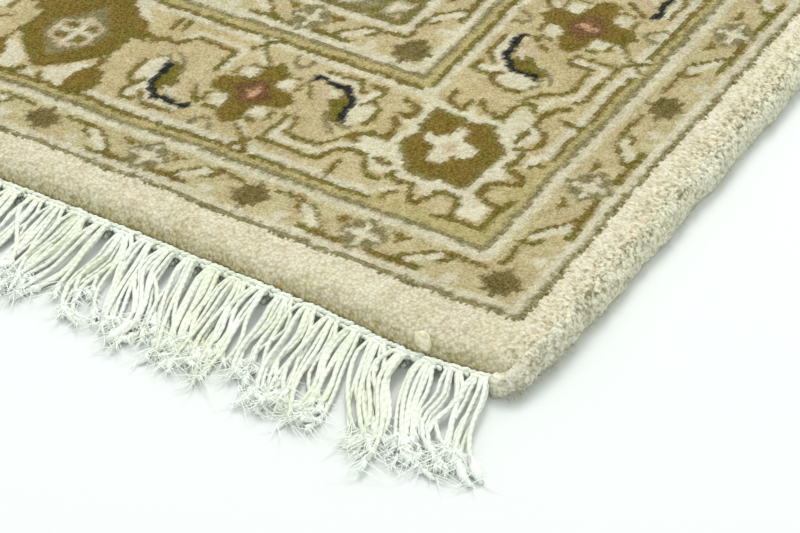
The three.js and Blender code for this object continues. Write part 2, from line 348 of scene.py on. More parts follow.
def paint_field(chart):
    depth = np.minimum(chart.u, chart.v)
    chart.yarn[depth > FIELD_FROM] = NAMES.index("sage")
    across = int((HALF_ALONG_END - FIELD_FROM) / FIELD_STEP[0]) + 2
    along = int((HALF_ALONG_SIDE - FIELD_FROM) / FIELD_STEP[1]) + 2
    spots = [(i, j, (HALF_ALONG_END - i * FIELD_STEP[0], HALF_ALONG_SIDE - j * FIELD_STEP[1]))
             for i in range(across) for j in range(along)]
    for i, j, at in spots:
        for side in (-1, 1):
            chart.draw(FIELD_LEAF, at, (side, 1 if (i + j) % 2 else -1))
    for i, j, at in spots:
        chart.draw(FIELD_ROSETTE if (i + j) % 2 else PALMETTE, at, (1, -1))


def paint_stripes(chart):
    depth = np.minimum(chart.u - np.interp(chart.u, *SIDE_LEAN), chart.v - np.interp(chart.v, *END_LEAN))
    ends = np.array([end for end, _ in STRIPES])
    yarns = np.array([NAMES.index(yarn) for _, yarn in STRIPES])
    outside = depth <= FIELD_FROM
    chart.yarn[outside] = yarns[np.searchsorted(ends[:-1], depth[outside])]
    corner = np.maximum(chart.u, chart.v) < CORNER_SQUARE["along"]
    lines = (depth > CORNER_SQUARE["from"]) & (depth < CORNER_SQUARE["to"])
    chart.yarn[corner & lines] = NAMES.index("tan")


def paint_guard(chart, depth, places, swap):
    """Stars and four-lobed flowers in turn, from a star, with the vine from each to the next."""
    for number, (a, b) in enumerate(zip(places, places[1:])):
        start, way = (a, 1) if number % 2 == 0 else (b, -1)
        stretch = way * (b - a) / VINE_STEP
        vine = [(yarn, width, [(p * stretch, q) for p, q in points]) for yarn, width, points in VINE]
        chart.draw(vine, (start, depth), swap=swap)
        chart.draw(PALE_SPOT, (start + PALE_SPOT_AT[0] * way, depth + PALE_SPOT_AT[1]), swap=swap)
    for number, place in enumerate(places):
        chart.draw(LOBES if number % 2 else STAR, (place, depth), swap=swap)


def across_diagonal(half):
    """A shape from its half on one side of the corner's diagonal."""
    return half + [(q, p) for p, q in reversed(half) if p != q]


SHEATH_WIDTH = 4.2             # of the pale line round the corner's rosette, in knots
ROSETTE_CORE = 0.9             # share of the rosette inside its rim


def paint_corner(chart):
    rosette, flower = across_diagonal(ROSETTE_HALF), across_diagonal(FLOWER_HALF)
    sheath = [("ivory", 0, shape) for shape in SHEATH_HALF] + [("ivory", SHEATH_WIDTH, rosette + rosette[:1])]
    for motif in (sheath, SPRIGS_HALF):
        for swap in (False, True):
            chart.draw(motif, ROSETTE_AT[::-1] if swap else ROSETTE_AT, swap=swap)
    core = [(ROSETTE_CORE * p, ROSETTE_CORE * q) for p, q in rosette]
    heart = [("rim", 0, rosette), ("olive", 0, core), ("ivory", 0, flower), ("blush", 0, ring(8, 2.4, 1.0))]
    chart.draw(heart, ROSETTE_AT)


# Main border: knots from one large motif to the next, on an end and on a side, and the depth of their middles
MOTIF_STEPS, MOTIF_DEPTH = (41.0, 44.0), 31.9
# Guard borders of an end and of a side: depth of the middle line, place of the corner's star, of the flower
# after it, and knots from there to each next place
GUARDS = (((7.0, 7.2, 34.6, 24.8), (57.0, 56.5, 80.0, 24.5)),
          ((7.0, 7.2, 36.6, 26.2), (57.0, 56.5, 80.0, 24.5)))


def painted(rng):
    """Yarn numbers of the whole rug, rows from the front end to the back one."""
    chart = Chart(rng)
    paint_field(chart)
    paint_stripes(chart)
    for on_side, half in enumerate((HALF_ALONG_END, HALF_ALONG_SIDE)):
        step = MOTIF_STEPS[on_side]
        for number in range(1, round((half - ROSETTE_AT[0]) / step) + 1):
            motif = CROSS_GROUP if number % 2 else DIAMOND
            chart.draw(motif, (ROSETTE_AT[0] + number * step, MOTIF_DEPTH), swap=on_side)
        for depth, corner, first, apart in GUARDS[on_side]:
            places = np.linspace(first, half, round((half - first) / apart) + 1)
            paint_guard(chart, depth, [corner, *places], on_side)
    paint_corner(chart)
    left = chart.yarn
    wide = np.hstack([left, left[:, ::-1]])
    return np.vstack([wide, wide[::-1]])


def linear(srgb):
    """Linear light from sRGB values, 0 to 255."""
    srgb = np.asarray(srgb, float) / 255
    return np.where(srgb <= 0.04045, srgb / 12.92, ((srgb + 0.055) / 1.055) ** 2.4)


EXPOSURE = np.array([1.29, 1.34, 1.37])    # light on a level surface, against which yarns' colours were read
# How far a yarn wanders between its two tones, over how many cells, and how far in single cells
DYE = {"wander": 0.9, "over": 5, "cell": 0.3}
# How unevenly yarn takes the light, by knots, by cells and by patches of so many cells, and the share of the
# first two that shows on the plain band
UNEVEN = {"knot": 0.07, "cell": 0.09, "patch": 0.04, "over": 60, "on_band": 0.5}
HUE = {"by": np.array([0.012, -0.008, 0.015]), "over": 9}      # between rosy and green, over how many cells


def yarn_colours(yarn, rng):
    """Linear colour of every cell: its yarn between its two tones, uneven by knot and by dye lot."""
    tones = linear([YARNS[name] for name in NAMES]) / EXPOSURE
    mix = 0.5 + DYE["wander"] * smooth_noise(yarn.shape, DYE["over"], rng)
    mix = np.clip(mix + DYE["cell"] * rng.uniform(-1, 1, yarn.shape), 0, 1)[..., None]
    colour = tones[yarn, 0] * (1 - mix) + tones[yarn, 1] * mix
    knot = np.kron(rng.uniform(-1, 1, (ROWS, COLUMNS)), np.ones((CELLS, CELLS)))
    rough = np.where(yarn == NAMES.index("band"), UNEVEN["on_band"], 1.0)
    single = UNEVEN["knot"] * knot + UNEVEN["cell"] * rng.uniform(-1, 1, yarn.shape)
    light = 1 + rough * single + UNEVEN["patch"] * smooth_noise(yarn.shape, UNEVEN["over"], rng)
    hue = HUE["by"] * smooth_noise(yarn.shape, HUE["over"], rng)[..., None]
    return colour * light[..., None] * (1 + hue)


# Meshes

def smoothstep(t):
    t = np.clip(t, 0, 1)
    return t * t * (3 - 2 * t)


def make_object(name, points, faces, smooth=True):
    """A mesh object from points in millimetres and rows of vertex numbers, -1 where a face has fewer."""
    faces = np.asarray(faces)
    used = faces >= 0
    counts = used.sum(1)
    mesh = bpy.data.meshes.new(name)
    mesh.vertices.add(len(points))
    mesh.vertices.foreach_set("co", (np.asarray(points, float) * MM).ravel())
    mesh.loops.add(int(counts.sum()))
    mesh.loops.foreach_set("vertex_index", faces[used].astype(np.int32))
    mesh.polygons.add(len(faces))
    starts = np.concatenate([[0], np.cumsum(counts)[:-1]]).astype(np.int32)
    mesh.polygons.foreach_set("loop_start", starts)
    mesh.polygons.foreach_set("use_smooth", np.full(len(faces), smooth))
    mesh.update(calc_edges=True)
    mesh.validate()
    thing = bpy.data.objects.new(name, mesh)
    bpy.context.scene.collection.objects.link(thing)
    return thing


def set_colours(thing, colours, domain):
    """Colours, one to each point or to each face corner."""
    layer = thing.data.color_attributes.new("yarn", "FLOAT_COLOR", domain)
    rgba = np.ones((len(colours), 4), np.float32)
    rgba[:, :3] = colours
    layer.data.foreach_set("color", rgba.ravel())


def one_colour(thing, colour):
    set_colours(thing, np.tile(colour, (len(thing.data.vertices), 1)), "POINT")


MAP_MARGIN = 0.01              # share of the map left free round the piece


def level_map(thing):
    """A map for baking: the piece seen straight from above, or below."""
    mesh = thing.data
    places = np.empty(len(mesh.vertices) * 3, np.float32)
    mesh.vertices.foreach_get("co", places)
    places = places.reshape(-1, 3)[:, :2]
    low, high = places.min(0), places.max(0)
    corners = np.empty(len(mesh.loops), np.int32)
    mesh.loops.foreach_get("vertex_index", corners)
    layer = mesh.uv_layers.new(name="OFBake")
    share = (places[corners] - low) / (high - low).max() * (1 - 2 * MAP_MARGIN) + MAP_MARGIN
    layer.uv.foreach_set("vector", share.astype(np.float32).ravel())


UPRIGHT = 0.05                 # a tube more nearly upright than this has its sides along x


def tubes(paths, radii, sides, flat=1.0):
    """Points and faces of closed tubes. paths is (tube, ring, 3), radii (tube, ring), and flat the share of
    their width that they are high."""
    count, rings = paths.shape[:2]
    ahead = np.empty_like(paths)
    ahead[:, 1:-1] = paths[:, 2:] - paths[:, :-2]
    ahead[:, 0], ahead[:, -1] = paths[:, 1] - paths[:, 0], paths[:, -1] - paths[:, -2]
    ahead /= np.linalg.norm(ahead, axis=2, keepdims=True)
    up = np.broadcast_to([0.0, 0.0, 1.0], ahead.shape)
    side = np.cross(ahead, up)
    level = np.linalg.norm(side, axis=2, keepdims=True)
    side = np.where(level > UPRIGHT, side / np.maximum(level, 1e-9), [1.0, 0.0, 0.0])
    top = np.cross(side, ahead) * flat
    angle = np.arange(sides) * 2 * np.pi / sides + (np.pi / 6 if sides == 3 else np.pi / 2)
    around = side[:, :, None] * np.cos(angle)[:, None] + top[:, :, None] * np.sin(angle)[:, None]
    points = paths[:, :, None] + around * radii[:, :, None, None]
    number = np.arange(count * rings * sides).reshape(count, rings, sides)
    turned = np.roll(number, -1, axis=2)
    walls = np.stack([number[:, :-1], turned[:, :-1], turned[:, 1:], number[:, 1:]], -1).reshape(-1, 4)
    ends = []
    for first, flip in ((number[:, 0], True), (number[:, -1], False)):
        fan = [np.stack([first[:, 0], first[:, k + 1 if flip else k], first[:, k if flip else k + 1],
                         np.full(count, -1)], -1) for k in range(1, sides - 1)]
        ends += fan
    return points.reshape(-1, 3), np.concatenate([walls, *ends])


def spikes(paths, radii):
    """Points and faces of three-sided fibres that end in a point. radii are of all the rings before it."""
    count, rings = paths.shape[:2]
    rounds = tubes(paths[:, :-1], radii, 3)[0].reshape(count, -1, 3)
    points = np.concatenate([rounds, paths[:, -1:]], 1)
    number = np.arange(count * points.shape[1]).reshape(count, -1)
    ring, tip = number[:, :-1].reshape(count, rings - 1, 3), number[:, -1]
    turned = np.roll(ring, -1, axis=2)
    none = np.full((count, 3), -1)
    walls = np.stack([ring[:, :-1], turned[:, :-1], turned[:, 1:], ring[:, 1:]], -1).reshape(-1, 4)
    cones = np.stack([ring[:, -1], turned[:, -1], np.repeat(tip[:, None], 3, 1), none], -1).reshape(-1, 4)
    bases = np.stack([ring[:, 0, 0], ring[:, 0, 2], ring[:, 0, 1], none[:, 0]], -1)
    return points.reshape(-1, 3), np.concatenate([walls, cones, bases])


def joined(parts):
    """One list of points and one of faces from several."""
    offset, points, faces = 0, [], []
    for some_points, some_faces in parts:
        points.append(some_points)
        faces.append(np.where(some_faces >= 0, some_faces + offset, -1))
        offset += len(some_points)
    return np.concatenate(points), np.concatenate(faces)


def half_turn(points):
    return points * [-1, -1, 1]


def evenly(line, count):
    """Points at even distances along an open line, as two rows, and their distances from its start."""
    line = np.array(line)
    length = np.concatenate([[0], np.cumsum(np.hypot(*np.diff(line, axis=0).T))])
    even = np.linspace(0, length[-1], count)
    return [np.interp(even, length, line[:, k]) for k in (0, 1)], even


def waves(shape, heights, rng):
    """Noise of several sizes. heights is (height, entries that it wanders over) for each."""
    return sum(height * smooth_noise(shape, over, rng) for height, over in heights)


# Shape of the rug, as in the part's source

def wave_at(x):
    return END_WAVE["height"] * np.cos(2 * np.pi * (x - END_WAVE["peak"]) / END_WAVE["length"])


def flare_at(x):
    return FLARE["height"] * np.exp(-(((np.abs(x) - FLARE["at"]) / FLARE["reach"]) ** 2))


def end_at(x):
    """How far the woven end stands from the middle, without its corners."""
    return HALF_LENGTH + wave_at(x) + flare_at(x)


def drawn_out(x, y):
    """How far a point of the body stands further out than a straight end would put it."""
    from_end = np.abs(y) - HALF_LENGTH
    turned = np.where(y < 0, x, -x)
    return np.sign(y) * (wave_at(turned) * smoothstep((from_end + WAVE_REACH) / WAVE_REACH)
                         + flare_at(turned) * smoothstep((from_end + FLARE_REACH) / FLARE_REACH))


def turn_at(y):
    """How far the corner has turned in, 0 on the long side and 1 at the end."""
    return np.clip((np.abs(y) - HALF_LENGTH + CORNER["length"]) / CORNER["length"], 0, 1) ** 2


def drawn_in(x, y):
    """How far the corner's turn draws a point of the body towards the middle line."""
    reach = CORNER["reach"]
    return np.sign(x) * CORNER["inset"] * turn_at(y) * smoothstep((np.abs(x) - HALF_WIDTH + reach) / reach)


# Pile

SHOULDER_NODES = 16            # rows of pile that round over at each end
SHOULDER_EXTRA = 6             # of which are more than the weave's own
# Painted shade of the tufts' flanks over the ends: cells it reaches in, how far that wanders, over how many
# cells and in single ones, how it fades and is specked, cells from a side over which it comes in, its tone
PAINTED_SHADE = {"reach": 14, "wander": 0.35, "over": 14, "cell": 0.3, "fade": 1.2, "specks": 1.0, "corner": 26,
         "tone": np.array([0.76, 0.72, 0.55])}
# Painted shade in gaps between the tufts beside the overcast sides: over how many cells, how it thins out,
# the share of cells without, how softly it starts, and how dark it is
SIDE_PIT_SHADE = {"cells": 8, "thin": 0.5, "without": 0.62, "soft": 0.1, "dark": np.array([0.52, 0.55, 0.64])}
# Painted light: how much lighter the side bands are at the edge than the end bands, and how it fades inwards.
# Up to so many cells from an end, it is a share of that instead, which fades over more cells and past the
# band
SIDE_PAINTED_LIGHT = {"edge": 1.16, "fade": 0.7, "rows": CELLS * END_BAND + SHOULDER_EXTRA - 4, "corner": 0.6,
              "past": 12, "over": 30}
MINGLE = 0.25                  # how far the tufts of neighbouring yarns mingle where two colours meet
# Knots in from a side and an end where the bands' tiles and the borders' end, and nodes from one to the next
BAND_KNOTS = (SIDE_BAND, END_BAND)
BORDER_KNOTS = (SIDE_BAND + int(FIELD_FROM), END_BAND + int(FIELD_FROM))
BORDER_STEP, FIELD_NODE_STEP = 2, 4
# Uneven tuft ends: on the bands, further in, and how far they may go
TUFTS = {"bands": 0.27, "inside": 0.14, "range": (-0.9, 0.7)}
LOOSE = {"reach": 45.0, "fine": 0.2, "tufts": 0.8, "over": 3}  # how much rougher the corners are
# How far the pile's top drops to the sides, and over how far: in all, more at a corner, and at the very rim
SLOPE = {"drop": 0.9, "reach": 16, "corner": 2.0, "rim": 0.9, "rim_reach": 2}
# How far the weave wanders, over how many nodes for its x and its y, how far single nodes stray, and how far
# in from the edges it does so in full
SLIDE = {"by": 0.9, "over": (34, 30), "node": 0.25, "margin": 12}
LUMPS = ((0.25, 14), (0.2, 5))


def pile_nodes(rng):
    """Places of the pile's nodes, half a knot apart: rows from front to back, columns from left to right."""
    inward, height = evenly(SHOULDER, SHOULDER_NODES + 1)[0]
    plain = (np.arange(2 * ROWS + 1) - ROWS) * KNOT / 2
    plain = plain[SHOULDER_NODES - SHOULDER_EXTRA + 1:-(SHOULDER_NODES - SHOULDER_EXTRA + 1)]
    nominal = np.concatenate([-HALF_LENGTH + inward, plain, HALF_LENGTH - inward[::-1]])
    top = np.concatenate([height, np.full(len(plain), PILE_TOP), height[::-1]])
    x = np.broadcast_to((np.arange(2 * COLUMNS + 1) - COLUMNS) * KNOT / 2, (len(nominal), 2 * COLUMNS + 1))
    y = np.broadcast_to(nominal[:, None], x.shape)
    out = np.abs(x) - HALF_WIDTH
    wander = smooth_noise(x.shape, SLIDE["over"][0], rng)
    edge = smoothstep((out + SLOPE["reach"]) / SLOPE["reach"])
    z = (top[:, None] - SLOPE["drop"] * edge - SLOPE["corner"] * edge * turn_at(y)
         - SLOPE["rim"] * smoothstep((out + SLOPE["rim_reach"]) / SLOPE["rim_reach"]))
    inside = smoothstep(-out / SLIDE["margin"]) * smoothstep((HALF_LENGTH - np.abs(y)) / SLIDE["margin"])
    slide = SLIDE["by"] * wander + SLIDE["node"] * rng.uniform(-1, 1, x.shape)
    moved_x = x - drawn_in(x, y) + inside * slide
    wander = smooth_noise(x.shape, SLIDE["over"][1], rng)
    slide = SLIDE["by"] * wander + SLIDE["node"] * rng.uniform(-1, 1, x.shape)
    moved_y = y + drawn_out(x, y) + inside * slide
    return np.stack([moved_x, moved_y, z + waves(x.shape, LUMPS, rng) * inside], -1)


def steps(first, last, step):
    """Node numbers from first to last, step apart, both ends among them."""
    return np.unique(np.append(np.arange(first, last, step), last))


def add_tufts(nodes, rng, rows, cols, field_rows, field_cols):
    """Uneven tuft ends: rough on the plain band at the edges, where the light rakes them, finer inside."""
    height = TUFTS["inside"] * rng.normal(0, 1, nodes.shape[:2])
    fine = np.ones(nodes.shape[:2], bool)
    fine[rows[0] + 1:rows[1], cols[0] + 1:cols[1]] = False
    height[fine] = TUFTS["bands"] * rng.normal(0, 1, int(fine.sum()))
    corner = smoothstep((np.abs(nodes[..., 0]) - HALF_WIDTH + LOOSE["reach"]) / LOOSE["reach"]) * smoothstep(
        (np.abs(nodes[..., 1]) - HALF_LENGTH + LOOSE["reach"]) / LOOSE["reach"])
    height += corner * (LOOSE["fine"] * rng.normal(0, 1, height.shape)
                        + LOOSE["tufts"] * smooth_noise(height.shape, LOOSE["over"], rng))
    height[:1], height[-1:] = 0, 0
    nodes[..., 2] += np.clip(height, *TUFTS["range"])
    for some_rows, some_cols, step in ((rows, cols, BORDER_STEP), (field_rows, field_cols, FIELD_NODE_STEP)):
        seam(nodes, steps(*some_rows, step), some_cols, 1)
        seam(nodes, steps(*some_cols, step), some_rows, 0)


def seam(nodes, kept, lines, axis):
    """Puts the nodes of a line between two meshes on the coarser one's straight edges."""
    for line in lines:
        row = nodes[:, line] if axis == 1 else nodes[line]
        span = np.arange(kept[0], kept[-1] + 1)
        for k in range(3):
            row[span, k] = np.interp(span, kept, row[kept, k])


def pile_tile(name, nodes, colours, mingled, rows, cols):
    """A part of the pile on the nodes of those rows and columns. Each corner takes the colour of the cell
    that it touches inside its face, mingled with the colours round the node."""
    number = np.arange(len(rows) * len(cols)).reshape(len(rows), len(cols))
    faces = np.stack([number[:-1, :-1], number[:-1, 1:], number[1:, 1:], number[1:, :-1]], -1).reshape(-1, 4)
    low_r, high_r = rows[:-1], rows[1:] - 1
    low_c, high_c = cols[:-1], cols[1:] - 1
    corners = np.stack([MINGLE * mingled[np.ix_(r, c)] + (1 - MINGLE) * colours[np.ix_(cr, cc)]
                        for r, c, cr, cc in ((rows[:-1], cols[:-1], low_r, low_c),
                                             (rows[:-1], cols[1:], low_r, high_c),
                                             (rows[1:], cols[1:], high_r, high_c),
                                             (rows[1:], cols[:-1], high_r, low_c))], 2)
    thing = make_object(name, nodes[np.ix_(rows, cols)].reshape(-1, 3), faces)
    set_colours(thing, corners.reshape(-1, 3), "CORNER")
    level_map(thing)
    return thing


def from_edges(count):
    """Cells in from the nearer one of two edges."""
    return np.minimum(np.arange(count), np.arange(count)[::-1])


def shaded_cells(colours, rng):
    """The weave's colours with the shoulders' rows: painted shade at ends and in pits, painted light at
    sides.
    """
    cells = np.concatenate([np.repeat(colours[:1], SHOULDER_EXTRA, 0), colours,
                            np.repeat(colours[-1:], SHOULDER_EXTRA, 0)])
    shape = cells.shape[:2]
    row, from_side = from_edges(shape[0])[:, None], from_edges(shape[1])
    # Painted shade over the ends' shoulders, on the tufts' flanks: darkest at the edge, specked, fading by
    # the sides
    wander = 1 + PAINTED_SHADE["wander"] * smooth_noise(shape, PAINTED_SHADE["over"], rng)
    reach = PAINTED_SHADE["reach"] * (wander + PAINTED_SHADE["cell"] * rng.uniform(-1, 1, shape))
    speck = 1 + PAINTED_SHADE["specks"] * rng.uniform(-1, 1, shape)
    shade = (1 - np.clip(row / reach, 0, 1)) ** PAINTED_SHADE["fade"] * speck
    shade = shade * smoothstep(from_side / PAINTED_SHADE["corner"])
    cells = cells * (1 - shade[..., None] * (1 - PAINTED_SHADE["tone"]))
    # Painted shade in the gaps between the tufts near the overcast sides
    near_side = np.clip(1 - from_side / SIDE_PIT_SHADE["cells"], 0, 1) ** SIDE_PIT_SHADE["thin"]
    pit_shade = smoothstep((rng.uniform(0, 1, shape) - SIDE_PIT_SHADE["without"]) / SIDE_PIT_SHADE["soft"]) * near_side
    # Painted light: the side bands lighter towards their outer edge, and less so near the ends
    band = CELLS * SIDE_BAND
    at_corner = smoothstep((band + SIDE_PAINTED_LIGHT["past"] - from_side) / SIDE_PAINTED_LIGHT["over"])
    along_side = np.clip(1 - from_side / band, 0, 1) ** SIDE_PAINTED_LIGHT["fade"]
    painted_light = np.where(row < SIDE_PAINTED_LIGHT["rows"], SIDE_PAINTED_LIGHT["corner"] * at_corner, along_side)
    painted_light = (1 + (SIDE_PAINTED_LIGHT["edge"] - 1) * painted_light)[..., None]
    return cells * (1 - pit_shade[..., None] * SIDE_PIT_SHADE["dark"]) * painted_light


def make_pile():
    colours = yarn_colours(painted(seeded(1)), seeded(2))
    rng = seeded(3)
    cells = shaded_cells(colours, rng)
    around = np.pad(cells, ((1, 1), (1, 1), (0, 0)), mode="edge")
    mingled = (around[:-1, :-1] + around[1:, :-1] + around[:-1, 1:] + around[1:, 1:]) / 4
    nodes = pile_nodes(seeded(4))
    last_r, last_c = nodes.shape[0] - 1, nodes.shape[1] - 1
    (cols, rows), (field_cols, field_rows) = (
        [(CELLS * knots + extra, last - CELLS * knots - extra)
         for knots, extra, last in zip(inset, (0, SHOULDER_EXTRA), (last_c, last_r))]
        for inset in (BAND_KNOTS, BORDER_KNOTS))
    add_tufts(nodes, rng, rows, cols, field_rows, field_cols)
    plan = [
        ("pile_band_front", (0, rows[0], 1), (0, last_c, 1)),
        ("pile_band_back", (rows[1], last_r, 1), (0, last_c, 1)),
        ("pile_band_left", (*rows, 1), (0, cols[0], 1)),
        ("pile_band_right", (*rows, 1), (cols[1], last_c, 1)),
        ("pile_border_front", (rows[0], field_rows[0], BORDER_STEP), (*cols, BORDER_STEP)),
        ("pile_border_back", (field_rows[1], rows[1], BORDER_STEP), (*cols, BORDER_STEP)),
        ("pile_border_left", (*field_rows, BORDER_STEP), (cols[0], field_cols[0], BORDER_STEP)),
        ("pile_border_right", (*field_rows, BORDER_STEP), (field_cols[1], cols[1], BORDER_STEP)),
        ("pile_field", (*field_rows, FIELD_NODE_STEP), (*field_cols, FIELD_NODE_STEP)),
    ]
    tiles = [pile_tile(name, nodes, cells, mingled, steps(*r), steps(*c)) for name, r, c in plan]
    return tiles, colours


# Foundation: knots to a face, how far its rim stands in from the weave's sides and ends, its height over the
# floor, how far its ends lie back under the pile and over how far, and the shares of the colour under it
BACK = {"knots": 6, "in_x": 0.5, "in_y": 0.8, "height": 0.05, "undercut": 6.0, "over": 20,
        "pile": 0.8, "cream": 0.2}


def make_back(colours):
    """The woven foundation: the knots' colours show through on its underside."""
    across, along = COLUMNS // BACK["knots"], ROWS // BACK["knots"]
    gx, gy = np.meshgrid(np.linspace(-HALF_WIDTH + BACK["in_x"], HALF_WIDTH - BACK["in_x"], across + 1),
                         np.linspace(-HALF_LENGTH + BACK["in_y"], HALF_LENGTH - BACK["in_y"], along + 1))
    gx = gx - drawn_in(gx, gy)
    gy = gy + drawn_out(gx, gy)
    number = np.arange(gx.size).reshape(gx.shape)
    under = np.stack([number[:-1, :-1], number[1:, :-1], number[1:, 1:], number[:-1, 1:]], -1).reshape(-1, 4)
    rim = np.concatenate([number[0, :-1], number[:-1, -1], number[-1, :0:-1], number[:0:-1, 0]])
    raised = np.arange(len(rim)) + gx.size
    near_end = smoothstep((np.abs(gy) - HALF_LENGTH + BACK["over"]) / BACK["over"])
    back_by = BACK["undercut"] * np.sign(gy) * near_end
    points = np.concatenate([
        np.stack([gx.ravel(), (gy - back_by).ravel(), np.full(gx.size, BACK["height"])], -1),
        np.stack([gx.ravel()[rim], gy.ravel()[rim], np.full(len(rim), FOUNDATION)], -1)])
    faces = np.full((len(under) + len(rim) + 1, len(rim)), -1)
    faces[:len(under), :4] = under
    faces[len(under):-1, :4] = np.stack([rim, np.roll(rim, -1), np.roll(raised, -1), raised], -1)
    faces[-1] = raised
    thing = make_object("rug_back", points, faces, smooth=False)
    cells_r = np.linspace(0, colours.shape[0], along + 1).astype(int)
    cells_c = np.linspace(0, colours.shape[1], across + 1).astype(int)
    total = np.add.reduceat(np.add.reduceat(colours, cells_r[:-1], axis=0), cells_c[:-1], axis=1)
    mean = total / (np.diff(cells_r)[:, None] * np.diff(cells_c)[None, :])[..., None]
    cream = linear(YARNS["cream"][0]) / EXPOSURE
    shown = BACK["pile"] * mean + BACK["cream"] * cream
    set_colours(thing, np.concatenate([np.repeat(shown.reshape(-1, 3), 4, 0),
                                       np.broadcast_to(cream, (5 * len(rim), 3))]), "CORNER")
    return thing


# Overcast sides

SELVEDGE = {"width": 6.0, "top": 11.3, "lump": 0.5, "lump_length": 46.0}
# Its tip, bent in round the corner: how far past the straight end, how far its inner and its outer side stand
# in, how much lower its top is
SELVEDGE_TIP = np.array([(-14, 0, 0, 0), (-5, 0, 0, 1.0), (2, 0, 0, 2.6), (5, 3.0, 0.6, 3.4),
                         (8, 4.6, 2.2, 4.4), (10, 4.6, 4.0, 6.0), (11, 4.2, 5.2, 7.6)], float)
# Section round the edge, from under the pile to the floor: share of the width, share of the height
ROUND_EDGE = [(-0.36, 0.93), (-0.2, 0.99), (0.0, 0.985), (0.25, 0.965), (0.5, 0.91), (0.75, 0.8),
              (0.93, 0.62), (1.0, 0.46), (0.94, 0.26), (0.7, 0.09), (0.4, 0.0), (0.0, 0.0)]
SELVEDGE_AROUND, SELVEDGE_PITCH = 18, 1.4
# Its yarn, and how light it is beside the pile's. Near the corners, over a length, it is looser and paler
EDGE_TONES, EDGE_LIGHT = ((253, 250, 226), (248, 243, 215)), np.array([0.94, 0.945, 0.93])
TIP_TONES, TIP_LIGHT, TIP_LENGTH = ((253, 250, 229), (249, 242, 214)), 1.05, 60.0
EDGE_MIX = {"wander": 0.8, "over": 9}      # between its two tones, over how many points
# How far the corners' outer rims stand off the floor, from which share of the width on and over which
TIP_LIFT = {"by": 2.4, "from": 0.1, "over": 0.5}
# How uneven the wrapping is at single points and in waves (height, points it wanders over), how far that may
# go, how much more of it the tips have, over what height and share of the width it comes in, how far points
# stray along the side, and the middle that it swells from, in shares of width and height
WRAP = {"single": 0.42, "waves": ((0.5, 3), (0.4, 9)), "range": (-1.1, 0.9), "tips": 1.2, "height": 2.0,
        "share": 0.2, "along": 0.3, "middle": (0.35, 0.4)}
# Painted shade in small gaps between the overcast yarn's turns: where round the section, how much less at the
# tips, the share without, how far that wanders, over how many points, how softly it starts, and how dark it
# is
EDGE_PIT_SHADE = {"at": 0.17, "reach": 0.2, "tips": 0.7, "without": 0.58, "wander": 0.3, "over": 8, "soft": 0.1,
             "dark": np.array([0.55, 0.57, 0.66])}


def side_faces(y):
    """Where the side's inner and outer faces and its top are, along the side on +X."""
    inner_in, outer_in, drop = (np.interp(np.abs(y) - HALF_LENGTH, SELVEDGE_TIP[:, 0], SELVEDGE_TIP[:, k])
                                for k in (1, 2, 3))
    turn = turn_at(y)
    side = HALF_WIDTH - CORNER["inset"] * turn + GAP
    lump = SELVEDGE["lump"] * np.sin(2 * np.pi * y / SELVEDGE["lump_length"]) * (1 - turn)
    return side - inner_in, side + SELVEDGE["width"] + lump - outer_in, SELVEDGE["top"] - drop


